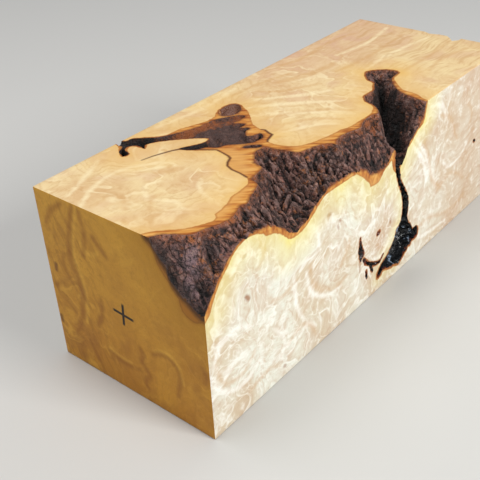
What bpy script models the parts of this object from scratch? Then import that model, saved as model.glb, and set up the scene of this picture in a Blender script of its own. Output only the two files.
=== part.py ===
# Maple burl block
# A block sawn square from a maple burl. The tree's own bark is left along one long edge,
# bark pockets reach in from it, and a crack runs down to a black knot on the long face.
# The long side lies along X, the bark edge is at -Y and the top, and the block rests on Z = 0.

import bmesh
import bpy
import numpy as np
from mathutils import Vector, noise

MM = 0.001

# Driving sizes of the sawn block, in metres
LENGTH = 0.272
WIDTH = 0.100
HEIGHT = 0.097

# The same sizes in millimetres, the unit of every outline and depth below
HALF_LENGTH = LENGTH / MM / 2
HALF_WIDTH = WIDTH / MM / 2
TOP = HEIGHT / MM

# Spacing of the grids that carve the bark and the cracks
TOP_CELL = 1.55
FRONT_CELL = 1.3

# The part of the long face that its grid covers
FRONT_SPAN_X = (-24, 112)
FRONT_SPAN_Z = (2, 88)

# How far the cutters reach past the block's edges, and out into the air
OVERLAP = 6.0
AIR = 14.0

# Bark slope: the line on the top face where the bark drops away, as (x, y)
BARK_LINE_TOP = [
    (-150, -14), (-136, -22.8), (-131.5, -25.4), (-127.5, -31), (-124.5, -35.4), (-117.8, -37.3),
    (-112, -39.6), (-106, -40.6), (-100, -39), (-95.6, -37.1), (-92.8, -38.7), (-88, -36.3),
    (-81, -33.8), (-77, -31.6), (-75.2, -27), (-72.8, -26.3), (-66, -24.8), (-63.3, -23),
    (-62.2, -18.2), (-57.8, -14.9), (-53.9, -12), (-50.2, -11.9), (-46.8, -12.4), (-46.2, -17),
    (-44.2, -22.7), (-43, -28.6), (-37.8, -30.7), (-31, -32.6), (-26.9, -36), (-25.7, -39),
    (-23.3, -37.1), (-17, -35.8), (-11, -36.8), (-4.5, -38.7), (0, -36.8), (6, -35.4),
    (11.7, -35.6), (14.6, -37), (18.9, -34.3), (22.5, -29.3), (24.2, -24), (28.5, -20.2),
    (35.6, -19.8), (39.5, -19.7), (44.4, -16.6), (48.6, -14), (49.4, -10), (53.3, -6),
    (59.5, -2.6), (65.8, -7.7), (69, -13.5), (67.6, -17.9), (61, -18.6), (55.8, -21),
    (48.3, -27.7), (44.4, -33.5), (42, -42), (40.8, -50), (40.6, -70),
]
BARK_LINE_CORNERS = [(40.6, -95), (-150, -95)]

# The line on the long face where the bark slope comes down to it, as (x, z)
BARK_LINE_FRONT = [
    (-150, 66), (-136, 70), (-133, 74.3), (-126, 82.7), (-119.4, 88.8), (-114, 92.4),
    (-106, 93.3), (-100, 92.1), (-92.2, 90.4), (-88.9, 89), (-82.2, 83.2), (-76.1, 78.8),
    (-67, 79), (-60.6, 83.2), (-54, 87), (-48, 88), (-36, 87.9), (-28, 86.8), (-20, 84.3),
    (-15.5, 82), (-13.5, 79), (-6.7, 76.4), (0.6, 76), (4, 77.2), (7.2, 80.2), (9.5, 82.4),
    (11.5, 82), (13.5, 79.5), (19.5, 76.5), (22.2, 78.8), (24.3, 82), (30, 83.6),
    (35.6, 87.1), (39, 88.3), (40.3, 92.7), (41, 97), (150, 97),
]

# The line on the end face where the bark slope comes out, as (y, z)
BARK_LINE_END = [
    (-60, 66), (-50, 69.4), (-48.5, 69.2), (-44, 71.5), (-40, 74.5), (-36, 77), (-33, 79),
    (-31.5, 82), (-31, 86), (-28, 89), (-24.5, 92.5), (-22.8, 97), (60, 97),
]

# How quickly the end face's own bark line stops steering the slope, along X
END_HOLD = 11.0

# Valleys in the bark: points along each one as (x, y, extra depth), and its half width
BARK_VALLEYS = [
    ([(60, -11, 4.5), (50, -17, 9), (38, -28, 15), (26, -38, 17), (16, -47, 9)], 7.5),
    ([(35, -24, 6), (27, -27, 7), (22, -38, 7)], 5.0),
    ([(-67, -25, 1.5), (-70, -36, 7), (-73, -45, 5)], 5.5),
    ([(-125, -38, 2), (-129, -43, 5)], 4.5),
    ([(-52, -22, 2.5), (-57, -33, 4), (-60, -43, 3)], 6.0),
    ([(-27, -40, 1.5), (-24, -46, 3)], 2.6),
]
VALLEY_RUN_IN = 6.0

# How the bark leaves the sawn face: a short step, then the slope
EDGE_STEP = 1.1
EDGE_RUN = 1.3
LEAST_SLOPE = 0.4

# Shortest distances that the slope is blended with, at its line on top and at the other faces
NEAR_LINE = 0.2
NEAR_FACE = 0.1

# How steeply a cutter's sheet rises out of the block outside the line that it cuts
OUTSIDE_RISE = 1.6

# Bark plates: their size across and down the slope, the depth of the furrows and of the lumps
PLATE_ACROSS = 6.5
PLATE_DOWN = 13.0
PLATE_WANDER = 0.5
FURROW_DEPTH = 1.5
FURROW_SHARE = 0.35
LUMP_SIZE = 17.0
LUMP_DEPTH = 1.6
ROUGH_RUN = 4.0
ROUGH_AT_SAWN_FACES = 0.35
NOISE_PLACE = Vector((3.7, 1.9, 8.3))

# The seed of the wander of the bark's furrows, which makes them fall the same way each time
WANDER_SEED = 1795981177
noise.seed_set(WANDER_SEED)

# Bark pocket on the top face, as (x, y), round the tongue of wood that reaches into it
POCKET = [
    (-85.4, 60), (-84.9, 50), (-85.5, 47.5), (-85.3, 45), (-87.3, 43.4), (-89.6, 42.6), (-91, 41),
    (-91.5, 39.2), (-92.4, 37.2), (-90, 36.5), (-88.3, 37.6), (-87.6, 40.9), (-85.6, 42.5),
    (-83.6, 42.5), (-81.4, 41.2), (-80.2, 38.6), (-80.8, 34.2), (-78, 36.9), (-72.5, 35),
    (-66.7, 30.1), (-60.6, 24), (-56.1, 18.4), (-55.2, 15.4), (-60, 14.8), (-66, 17.6),
    (-70.6, 20.3), (-71.2, 18.3), (-68, 13.4), (-62.8, 10.6), (-60, 6), (-55.5, 4.2),
    (-51, -1), (-46.5, -4.6), (-41.5, -6), (-38.9, -3.4), (-41.6, 1.5), (-39, 5.4),
    (-35.8, 7), (-34, 13), (-31, 17), (-25.6, 18), (-26.4, 20.8), (-32, 24.8),
    (-38.5, 27.8), (-46.7, 28.4), (-55, 30.8), (-61, 33.6), (-68, 37.4), (-72, 42),
    (-76.6, 47.2), (-79.6, 47.4), (-81.4, 50), (-81.6, 60),
]
POCKET_SHALLOW = 1.7
POCKET_DEEP = 13.0
POCKET_SHALLOW_X = -48.0
POCKET_DEEP_X = -76.0

# The deep slot's floor comes up again, between these two values of y, before the back edge
SLOT_END_DEPTH = 1.6
SLOT_END_FROM = 40.0
SLOT_END_TO = 48.5

# Where the pocket's floor sinks further, as (x, y, extra depth), with a half width
POCKET_SLOTS = [
    ([(-72, 19.5, 3), (-66, 14.5, 8), (-58, 11.5, 6), (-54, 14, 2)], 3.4),
    ([(-50, 2, 1.5), (-42, -2, 2.2)], 5.0),
]
POCKET_WALL = 2.4
SLOT_WALL = 7.0
POCKET_GRAIN_SIZE = 5.0
POCKET_GRAIN_DEPTH = 0.7

# Two smaller bark lobes on the top face, level floored
LOBE = [
    (-31.4, 28), (-30, 25.2), (-26.7, 23.2), (-21, 23.6), (-17.2, 26.8), (-15.7, 30),
    (-18, 33), (-23.5, 33.6), (-28.9, 31.8),
]
LOBE_DEPTH = 1.4
GRAIN_POCKET = [
    (-53.6, -4.2), (-51.7, -3.9), (-48.9, -6), (-46.6, -8.6), (-46.6, -10.6), (-48.6, -10.4),
    (-51.4, -7.6),
]
GRAIN_POCKET_DEPTH = 1.3
LOBE_WALL = 1.5

# Bark notch in the far top edge, and the shallow hollow beside it
FAR_NOTCH = [(150, -4), (137, -11.5), (133.5, -15.5), (129.3, -19.4), (132.4, -22), (150, -24)]
FAR_NOTCH_DEPTH = 24.0
FAR_NOTCH_WALL = 4.5
FAR_HOLLOW = [(150, 8), (136.5, 4), (134, -1.5), (135.2, -6.5), (138, -10), (150, -11)]
FAR_HOLLOW_DEPTH = 7.0
FAR_HOLLOW_WALL = 3.0

# Crack and black knot on the long face, as (x, z)
CRACK_AND_KNOT = [
    (12.6, 84), (11.9, 76), (12.8, 71.5), (14.4, 65.4), (17.2, 58.8), (21.1, 51.6), (23.2, 43.8),
    (23.2, 35.6), (21, 32), (17.3, 29.9), (16.6, 26), (13.6, 22.4), (10.8, 19.4), (5, 17.3),
    (1.6, 14.6), (-0.5, 11), (1.2, 8.8), (4.6, 9.8), (10, 9.7), (16, 7.2), (22.2, 5.8),
    (28, 6.6), (32, 8.2), (33.2, 11.6), (36, 13.1), (41, 13.6), (43.3, 17), (41.6, 20.6),
    (37, 22.3), (33.2, 26.8), (29.8, 31.4), (30.3, 38.5), (28.5, 46.4), (24.4, 53.2),
    (19.6, 60.2), (17.2, 67.5), (17, 70.6), (19.6, 73), (20.6, 77), (22.5, 84),
]
CRACK_DEPTH = 12.0
CRACK_WALL = 3.2
KNOT_DEPTH = 5.5
KNOT_UPPER_Z = 36.0
KNOT_RUN_IN = 8.0
KNOT_LUMP_SIZE = 6.0
KNOT_LUMP_DEPTH = 2.6

# The eye and the fissures beside the knot: centre lines as (x, z, half width)
FISSURES = [
    [(-19.3, 44.6, 0.4), (-19, 41.5, 0.9), (-18.6, 37, 1.9), (-17.2, 33, 2.4), (-17.6, 30.6, 1)],
    [(-15, 29.4, 0.8), (-12.8, 26.2, 1.2), (-9.4, 23.4, 1.1), (-6, 21.3, 1.2), (-1.8, 19.1, 1),
     (2, 18.8, 0.8), (5, 21.4, 0.5)],
    [(-7.6, 21.6, 1), (-6.6, 18.6, 0.9), (-5.4, 16.3, 0.5)],
    [(-11.8, 20.2, 0.6), (-11.6, 17.6, 0.9), (-11, 15, 0.4)],
    [(-1.6, 38.4, 1.2), (-0.6, 38.5, 1.2)],
    [(107.4, 47.5, 0.8), (108.8, 46.7, 0.8)],
]
FISSURE_WALL = 1.6
FISSURE_DEPTH = 2.4


def smooth_outline(points, closed=True, steps=3):
    """A Catmull-Rom curve through the points, as an array of pairs."""
    knots = np.array(points, dtype=float)
    count = len(knots)
    spans = count if closed else count - 1
    curve = []
    for span in range(spans):
        before = knots[span - 1] if closed or span > 0 else knots[0]
        start = knots[span]
        end = knots[(span + 1) % count]
        after = knots[(span + 2) % count] if closed or span + 2 < count else knots[-1]
        for step in range(steps):
            t = step / steps
            bend = 2 * before - 5 * start + 4 * end - after
            twist = 3 * start - before - 3 * end + after
            curve.append((2 * start + (end - before) * t + bend * t**2 + twist * t**3) / 2)
    if not closed:
        curve.append(knots[-1])
    return np.array(curve)


def nearest_on(u, v, start, end):
    """Distance from each (u, v) to one straight stretch, and how far along it the foot lies."""
    along = end[:2] - start[:2]
    length_squared = max(along @ along, 1e-9)
    foot = ((u - start[0]) * along[0] + (v - start[1]) * along[1]) / length_squared
    foot = np.clip(foot, 0, 1)
    gap = np.hypot(u - start[0] - foot * along[0], v - start[1] - foot * along[1])
    return gap, foot


def inside(u, v, outline):
    """How far each (u, v) lies inside a closed outline, in millimetres; negative outside."""
    gap = np.full(u.shape, np.inf)
    odd = np.zeros(u.shape, dtype=bool)
    for start, end in zip(outline, np.roll(outline, -1, axis=0)):
        gap = np.minimum(gap, nearest_on(u, v, start, end)[0])
        if start[1] == end[1]:
            continue
        crossing = start[0] + (v - start[1]) * (end[0] - start[0]) / (end[1] - start[1])
        odd ^= ((start[1] > v) != (end[1] > v)) & (u < crossing)
    return np.where(odd, gap, -gap)


def valley(u, v, line, half_width):
    """Extra depth near a valley line of (u, v, depth), fading over its half width."""
    points = np.array(line, dtype=float)
    deepest = np.zeros(u.shape)
    for start, end in zip(points, points[1:]):
        gap, foot = nearest_on(u, v, start, end)
        depth = start[2] + (end[2] - start[2]) * foot
        deepest = np.maximum(deepest, depth * np.exp(-((gap / half_width) ** 2)))
    return deepest


def groove(u, v, line):
    """How far each (u, v) lies inside a line of (u, v, half width); negative outside."""
    points = np.array(line, dtype=float)
    best = np.full(u.shape, -np.inf)
    for start, end in zip(points, points[1:]):
        gap, foot = nearest_on(u, v, start, end)
        best = np.maximum(best, start[2] + (end[2] - start[2]) * foot - gap)
    return best


def ease(value, start, end):
    """0 before start, 1 after end, and a smooth step between them."""
    t = np.clip((value - start) / (end - start), 0, 1)
    return t * t * (3 - 2 * t)


def lumps(u, v, size):
    """Smooth noise between about -1 and 1, with lumps of the given size."""
    values = [noise.noise(Vector((a, b, 0)) / size + NOISE_PLACE) for a, b in zip(u.flat, v.flat)]
    return np.array(values).reshape(u.shape)


def furrows(u, v):
    """1 in the furrows between bark plates and 0 on the plates."""
    depth = np.zeros(u.shape)
    for index, (a, b) in enumerate(zip(u.flat, v.flat)):
        place = Vector((a / PLATE_ACROSS, b / PLATE_DOWN, 0)) + NOISE_PLACE
        place += noise.noise_vector(place) * PLATE_WANDER
        near = noise.voronoi(place)[0]
        depth.flat[index] = max(0, 1 - (near[1] - near[0]) / FURROW_SHARE)
    return depth


def open_at(edge, floor, wall):
    """Depth of a pocket: its walls slope in from its edge until they meet its floor."""
    return np.where(edge > 0, np.minimum(floor, wall * edge), OUTSIDE_RISE * edge)


def bark_slope(x, y):
    """Depth of the bark slope under the top face, which meets the bark line of three faces."""
    line = np.vstack([smooth_outline(BARK_LINE_TOP, closed=False), BARK_LINE_CORNERS])
    edge = inside(x, y, line)
    to_top = np.maximum(edge, NEAR_LINE)
    to_front = np.maximum(y + HALF_WIDTH, NEAR_FACE)
    to_end = np.maximum(x + HALF_LENGTH, NEAR_FACE)
    front = TOP - np.interp(x, *np.array(BARK_LINE_FRONT, dtype=float).T)
    end = TOP - np.interp(y, *np.array(BARK_LINE_END, dtype=float).T)
    end_pull = np.exp(-to_end / END_HOLD) / to_end
    depth = (front / to_front + end * end_pull) / (1 / to_top + 1 / to_front + end_pull)
    away = ease(to_front, 0, ROUGH_RUN) * ease(to_end, 0, ROUGH_RUN)
    depth += EDGE_STEP * np.clip(edge / EDGE_RUN, 0, 1) * away
    for points, half_width in BARK_VALLEYS:
        depth += valley(x, y, points, half_width) * ease(edge, 0, VALLEY_RUN_IN)
    rough = ease(edge, 0, ROUGH_RUN) * (ROUGH_AT_SAWN_FACES + (1 - ROUGH_AT_SAWN_FACES) * away)
    depth += (FURROW_DEPTH * furrows(x, y) - LUMP_DEPTH * lumps(x, y, LUMP_SIZE)) * rough
    return np.where(edge > 0, np.maximum(depth, LEAST_SLOPE * edge), OUTSIDE_RISE * edge)


def bark_pocket(x, y):
    """Depth of the bark pocket: nearly level at its right and deep at its slot on the left."""
    deep = ease(-x, -POCKET_SHALLOW_X, -POCKET_DEEP_X)
    floor = POCKET_SHALLOW + (POCKET_DEEP - POCKET_SHALLOW) * deep
    floor += (SLOT_END_DEPTH - floor) * ease(y, SLOT_END_FROM, SLOT_END_TO)
    for points, half_width in POCKET_SLOTS:
        floor += valley(x, y, points, half_width)
    floor += POCKET_GRAIN_DEPTH * lumps(x, y, POCKET_GRAIN_SIZE)
    wall = POCKET_WALL + (SLOT_WALL - POCKET_WALL) * deep
    return open_at(inside(x, y, smooth_outline(POCKET)), floor, wall)


def top_relief(x, y):
    """Depth of everything that is open at the top face; negative where the face is sound."""
    lobe = inside(x, y, smooth_outline(LOBE))
    grain_pocket = inside(x, y, smooth_outline(GRAIN_POCKET))
    far_notch = inside(x, y, np.array(FAR_NOTCH, dtype=float))
    far_hollow = inside(x, y, np.array(FAR_HOLLOW, dtype=float))
    return np.maximum.reduce([
        bark_slope(x, y),
        bark_pocket(x, y),
        open_at(lobe, LOBE_DEPTH, LOBE_WALL),
        open_at(grain_pocket, GRAIN_POCKET_DEPTH, LOBE_WALL),
        open_at(far_notch, FAR_NOTCH_DEPTH, FAR_NOTCH_WALL),
        open_at(far_hollow, FAR_HOLLOW_DEPTH, FAR_HOLLOW_WALL),
    ])


def front_relief(x, z):
    """Depth of everything that is open at the long face; negative where the face is sound."""
    in_knot = 1 - ease(z, KNOT_UPPER_Z - KNOT_RUN_IN, KNOT_UPPER_Z)
    floor = CRACK_DEPTH + (KNOT_DEPTH - CRACK_DEPTH) * in_knot
    floor += KNOT_LUMP_DEPTH * lumps(x, z, KNOT_LUMP_SIZE)
    depth = open_at(inside(x, z, smooth_outline(CRACK_AND_KNOT)), floor, CRACK_WALL)
    for line in FISSURES:
        depth = np.maximum(depth, open_at(groove(x, z, line), FISSURE_DEPTH, FISSURE_WALL))
    return depth


def from_top(x, y, depth):
    """A point under the top face."""
    return Vector((x, y, TOP - depth)) * MM


def from_front(x, z, depth):
    """A point behind the long face."""
    return Vector((x, depth - HALF_WIDTH, z)) * MM


def material(name, colour, roughness):
    """A plain Principled material with the colour and roughness of one surface."""
    made = bpy.data.materials.new(name)
    made.use_nodes = True
    shader = made.node_tree.nodes["Principled BSDF"]
    shader.inputs["Base Color"].default_value = (*colour, 1)
    shader.inputs["Roughness"].default_value = roughness
    shader.inputs["Metallic"].default_value = 0
    made.diffuse_color = (*colour, 1)
    return made


def new_object(name, shape, finish):
    """Puts a bmesh into the scene as an object with one material."""
    mesh = bpy.data.meshes.new(name)
    shape.to_mesh(mesh)
    shape.free()
    mesh.materials.append(finish)
    made = bpy.data.objects.new(name, mesh)
    bpy.context.scene.collection.objects.link(made)
    return made


def sheet_cutter(name, span_u, span_v, cell, relief, place, pull, finish):
    """A closed cutter: a grid sheet shaped by a relief, pulled out into the air from its rim."""
    steps_u = round((span_u[1] - span_u[0]) / cell)
    steps_v = round((span_v[1] - span_v[0]) / cell)
    line_u = np.linspace(*span_u, steps_u + 1)
    line_v = np.linspace(*span_v, steps_v + 1)
    grid_u, grid_v = np.meshgrid(line_u, line_v, indexing="ij")
    depth = np.maximum(relief(grid_u, grid_v), -OVERLAP)
    shape = bmesh.new()
    verts = [shape.verts.new(place(*row)) for row in zip(grid_u.flat, grid_v.flat, depth.flat)]
    for i in range(steps_u):
        for j in range(steps_v):
            corner = i * (steps_v + 1) + j
            far_corner = corner + steps_v + 1
            shape.faces.new(
                (verts[corner], verts[far_corner], verts[far_corner + 1], verts[corner + 1])
            )
    rim = [edge for edge in shape.edges if edge.is_boundary]
    pulled = bmesh.ops.extrude_edge_only(shape, edges=rim)["geom"]
    axis, far = pull
    for vert in pulled:
        if isinstance(vert, bmesh.types.BMVert):
            vert.co[axis] = far * MM
    bmesh.ops.contextual_create(shape, geom=[edge for edge in shape.edges if edge.is_boundary])
    bmesh.ops.triangulate(shape, faces=shape.faces)
    bmesh.ops.recalc_face_normals(shape, faces=shape.faces)
    cutter = new_object(name, shape, finish)
    cutter.hide_render = True
    cutter.display_type = "WIRE"
    return cutter


def sawn_block(finish):
    """The sawn block before the bark and the cracks are cut into it."""
    shape = bmesh.new()
    bmesh.ops.create_cube(shape, size=1)
    bmesh.ops.scale(shape, verts=shape.verts, vec=(LENGTH, WIDTH, HEIGHT))
    bmesh.ops.translate(shape, verts=shape.verts, vec=(0, 0, HEIGHT / 2))
    return new_object("maple_burl_block", shape, finish)


def cut(target, cutter):
    """Takes the cutter out of the target, and gives the cut faces the cutter's material."""
    boolean = target.modifiers.new(cutter.name, "BOOLEAN")
    boolean.operation = "DIFFERENCE"
    boolean.solver = "EXACT"
    boolean.material_mode = "TRANSFER"
    boolean.object = cutter


def main():
    for old in list(bpy.data.objects):
        bpy.data.objects.remove(old, do_unlink=True)
    wood = material("sawn_maple_burl", (0.78, 0.60, 0.38), 0.55)
    bark = material("maple_bark", (0.07, 0.04, 0.03), 0.85)
    block = sawn_block(wood)
    whole_x = (-HALF_LENGTH - OVERLAP, HALF_LENGTH + OVERLAP)
    whole_y = (-HALF_WIDTH - OVERLAP, HALF_WIDTH + OVERLAP)
    up = (2, TOP + AIR)
    forward = (1, -HALF_WIDTH - AIR)
    cut(block, sheet_cutter("top_bark", whole_x, whole_y, TOP_CELL, top_relief, from_top, up, bark))
    cut(block, sheet_cutter(
        "front_cracks", FRONT_SPAN_X, FRONT_SPAN_Z, FRONT_CELL,
        front_relief, from_front, forward, bark,
    ))


main()
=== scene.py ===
# %% [markdown]
# # A maple burl block
# The real object is one piece of wood. A burl is a knobbly growth on a maple, and this one was sawn
# square, with the tree's own bark left along one long edge. It rests on a sawn face.
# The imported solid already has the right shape, but its facets are coarse. Here the block is made
# again with a fine surface, and it gets its wood figure, its inner bark and its bark.

# %% Load the solid that the fine block stands for
import math

import bmesh
import bpy
import numpy as np
from mathutils import Matrix, Vector, noise


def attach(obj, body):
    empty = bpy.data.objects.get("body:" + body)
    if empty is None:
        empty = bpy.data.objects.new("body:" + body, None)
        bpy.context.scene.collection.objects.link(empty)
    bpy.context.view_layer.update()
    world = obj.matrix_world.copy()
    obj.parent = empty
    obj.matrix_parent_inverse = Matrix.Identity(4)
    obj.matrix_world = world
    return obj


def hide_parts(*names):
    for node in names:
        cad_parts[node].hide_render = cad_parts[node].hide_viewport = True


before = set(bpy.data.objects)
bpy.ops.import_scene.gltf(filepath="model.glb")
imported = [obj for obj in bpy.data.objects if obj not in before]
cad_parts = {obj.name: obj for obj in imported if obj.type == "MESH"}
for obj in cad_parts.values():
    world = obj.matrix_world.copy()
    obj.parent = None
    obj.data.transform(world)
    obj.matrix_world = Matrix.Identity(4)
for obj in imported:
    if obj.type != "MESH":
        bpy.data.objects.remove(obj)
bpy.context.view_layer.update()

MM = 0.001
LENGTH = 272.0
WIDTH = 100.0
TOP = 97.0
HALF_LENGTH = LENGTH / 2
HALF_WIDTH = WIDTH / 2

# %% [markdown]
# ## Camera
# The block is seen from above its bark corner, with the long face to the right. The lens and the
# place were found from the block's own corners, and the small roll is part of the view. The three
# directions of a camera (right, up, backward) are the columns of its rotation.

# %% The camera
EYE = Vector((-0.3166, -0.2277, 0.2702))
AIM = Vector((-0.0329, 0.0186, 0.0250))
ROLL = math.radians(-3.132)
LENS = 60.68
SENSOR = 36.0

camera_data = bpy.data.cameras.new("view")
camera_data.lens = LENS
camera_data.sensor_width = SENSOR
camera = bpy.data.objects.new("view", camera_data)
bpy.context.scene.collection.objects.link(camera)
looking = (AIM - EYE).to_track_quat("-Z", "Y").to_matrix()
turned = looking @ Matrix.Rotation(ROLL, 3, "Z")
camera.matrix_world = Matrix.Translation(EYE) @ turned.to_4x4()
bpy.context.scene.camera = camera
print("camera right:", [round(value, 3) for value in turned.col[0]])

# %% [markdown]
# ## Floor and light
# The floor is a plain pale board with a matt paint, much larger than the block. Colours are written
# as the eye reads them, in sRGB hex, and one function turns them into the linear values that a shader
# works with. A large soft light stands on the side
# of the long face, so that face is the brightest. A weaker one hangs above for the top, and the end
# with the bark corner is left in the shade, with only a little light from the room.

# %% A pale floor
FLOOR_SIZE = 6.0
FLOOR_GAP = 0.0002


def colour(hex_code):
    """A linear colour from an sRGB hex code."""
    parts = (int(hex_code[i:i + 2], 16) / 255 for i in (0, 2, 4))
    return (*((p / 12.92 if p <= 0.04045 else ((p + 0.055) / 1.055) ** 2.4) for p in parts), 1)


bpy.ops.object.select_all(action="DESELECT")
bpy.ops.mesh.primitive_plane_add(size=FLOOR_SIZE, location=(0, 0, -FLOOR_GAP))
floor = bpy.context.object
bpy.ops.object.transform_apply(location=True, rotation=True, scale=True)
floor.name = "floor"
painted_board = bpy.data.materials.new("pale matt painted board")
painted_board.use_nodes = True
board_shader = painted_board.node_tree.nodes["Principled BSDF"]
board_shader.inputs["Base Color"].default_value = colour("CECDCA")
board_shader.inputs["Roughness"].default_value = 0.7
floor.data.materials.append(painted_board)
print("floor:", FLOOR_SIZE, "m wide")

# %% Soft lights: name, place and size in metres, power in watts, and colour
LIGHTS = [
    ("long_face_light", (0.1, -1.15, 0.75), 0.45, 13.8, (0.97, 0.98, 0.96)),
    ("top_light", (-0.3, 0.35, 1.25), 0.8, 8.2, (1.0, 0.98, 0.95)),
]
TARGET = Vector((0, 0, 0.05))
for name, place, size, power, tone in LIGHTS:
    light_data = bpy.data.lights.new(name, "AREA")
    light_data.size = size
    light_data.energy = power
    light_data.color = tone
    light = bpy.data.objects.new(name, light_data)
    bpy.context.scene.collection.objects.link(light)
    direction = (TARGET - Vector(place)).to_track_quat("-Z", "Y")
    light.matrix_world = Matrix.Translation(place) @ direction.to_matrix().to_4x4()

room = bpy.data.worlds.new("pale room")
room.use_nodes = True
room.node_tree.nodes["Background"].inputs["Color"].default_value = (0.86, 0.88, 0.92, 1)
room.node_tree.nodes["Background"].inputs["Strength"].default_value = 0.4
bpy.context.scene.world = room
bpy.context.scene.view_settings.view_transform = "Standard"
print("lights:", [name for name, *_ in LIGHTS])

# %% [markdown]
# ## The outlines of the bark
# Bark grows in no regular line, so each line where it meets a sawn face is given by points in
# millimetres. A smooth curve is drawn through them. The long side lies along X, the bark edge is on
# the -Y side of the top, and the block stands on Z = 0. The solid has nearly the same lines. Here the
# pocket has fingers at its right that are too small for the solid.

# %% Where the bark slope meets the top, the long face and the end
BARK_LINE_TOP = [
    (-150, -14), (-136, -22.8), (-131.5, -25.4), (-127.5, -31), (-124.5, -35.4), (-117.8, -37.3),
    (-112, -39.6), (-106, -40.6), (-100, -39), (-95.6, -37.1), (-92.8, -38.7), (-88, -36.3),
    (-81, -33.8), (-77, -31.6), (-75.2, -27), (-72.8, -26.3), (-66, -24.8), (-63.3, -23),
    (-62.2, -18.2), (-57.8, -14.9), (-53.9, -12), (-50.2, -11.9), (-46.8, -12.4), (-46.2, -17),
    (-44.2, -22.7), (-43, -28.6), (-37.8, -30.7), (-31, -32.6), (-26.9, -36), (-25.7, -39),
    (-23.3, -37.1), (-17, -35.8), (-11, -36.8), (-4.5, -38.7), (0, -36.8), (6, -35.4),
    (11.7, -35.6), (14.6, -37), (18.9, -34.3), (22.5, -29.3), (24.2, -24), (28.5, -20.2),
    (35.6, -19.8), (39.5, -19.7), (44.4, -16.6), (48.6, -14), (49.4, -10), (53.3, -6),
    (59.5, -2.6), (65.8, -7.7), (69, -13.5), (67.6, -17.9), (61, -18.6), (55.8, -21),
    (48.3, -27.7), (44.4, -33.5), (42, -42), (40.8, -50), (40.6, -70),
]
BARK_LINE_CORNERS = [(40.6, -95), (-150, -95)]
BARK_LINE_FRONT = [
    (-150, 66), (-136, 70), (-133, 74.3), (-126, 82.7), (-119.4, 88.8), (-114, 92.4),
    (-106, 93.3), (-100, 92.1), (-92.2, 90.4), (-88.9, 89), (-82.2, 83.2), (-76.1, 78.8),
    (-67, 79), (-60.6, 83.2), (-54, 87), (-48, 88), (-36, 87.9), (-28, 86.8), (-20, 84.3),
    (-15.5, 82), (-13.5, 79), (-6.7, 76.4), (0.6, 76), (4, 77.2), (7.2, 80.2), (9.5, 82.4),
    (11.5, 82), (13.5, 79.5), (19.5, 76.5), (22.2, 78.8), (24.3, 82), (30, 83.6),
    (35.6, 87.1), (39, 88.3), (40.3, 92.7), (41, 97), (150, 97),
]
BARK_LINE_END = [
    (-60, 66), (-50, 69.4), (-48.5, 69.2), (-44, 71.5), (-40, 74.5), (-36, 77), (-33, 79),
    (-31.5, 82), (-31, 86), (-28, 89), (-24.5, 92.5), (-22.8, 97), (60, 97),
]

# %% The bark pocket, its lobes and the notch in the far edge, on the top
POCKET = [
    (-85.4, 60), (-84.9, 50), (-85.5, 47.5), (-85.3, 45), (-87.3, 43.4), (-89.6, 42.6), (-91, 41),
    (-91.5, 39.2), (-92.4, 37.2), (-90, 36.5), (-88.3, 37.6), (-87.6, 40.9), (-85.6, 42.5),
    (-83.6, 42.5), (-81.4, 41.2), (-80.2, 38.6), (-80.8, 34.2), (-78, 36.9), (-72.5, 35),
    (-66.7, 30.1), (-60.6, 24), (-56.1, 18.4), (-55.2, 15.4), (-60, 14.8), (-66, 17.6),
    (-70.6, 20.3), (-71.2, 18.3), (-68, 13.4), (-62.8, 10.6), (-60, 6), (-55.5, 4.2),
    (-51, -1), (-46.5, -4.6), (-43.5, -5.2), (-39.6, -5.5), (-37.2, -3.4), (-36.7, -1.4),
    (-39.6, -0.6), (-42.6, 1.9), (-40.6, 4.6), (-37.9, 6.2), (-35.2, 6), (-35.3, 8.2),
    (-37.4, 11), (-33, 10.8), (-33.2, 13.8), (-35.4, 17.2), (-30.7, 16.8), (-25.4, 17),
    (-26, 20.2), (-32, 24.8), (-38.5, 27.8), (-46.7, 28.4), (-55, 30.8), (-61, 33.6), (-68, 37.4),
    (-72, 42), (-76.6, 47.2), (-79.6, 47.4), (-81.4, 50), (-81.6, 60),
]
LOBE = [
    (-31.4, 28), (-30, 25.2), (-26.7, 23.2), (-21, 23.6), (-17.2, 26.8), (-15.7, 30),
    (-18, 33), (-23.5, 33.6), (-28.9, 31.8),
]
GRAIN_POCKET = [
    (-53.6, -4.2), (-51.7, -3.9), (-48.9, -6), (-46.6, -8.6), (-46.6, -10.6), (-48.6, -10.4),
    (-51.4, -7.6),
]
FAR_NOTCH = [(150, -4), (137, -11.5), (133.5, -15.5), (129.3, -19.4), (132.4, -22), (150, -24)]
FAR_HOLLOW = [(150, 8), (136.5, 4), (134, -1.5), (135.2, -6.5), (138, -10), (150, -11)]

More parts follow.
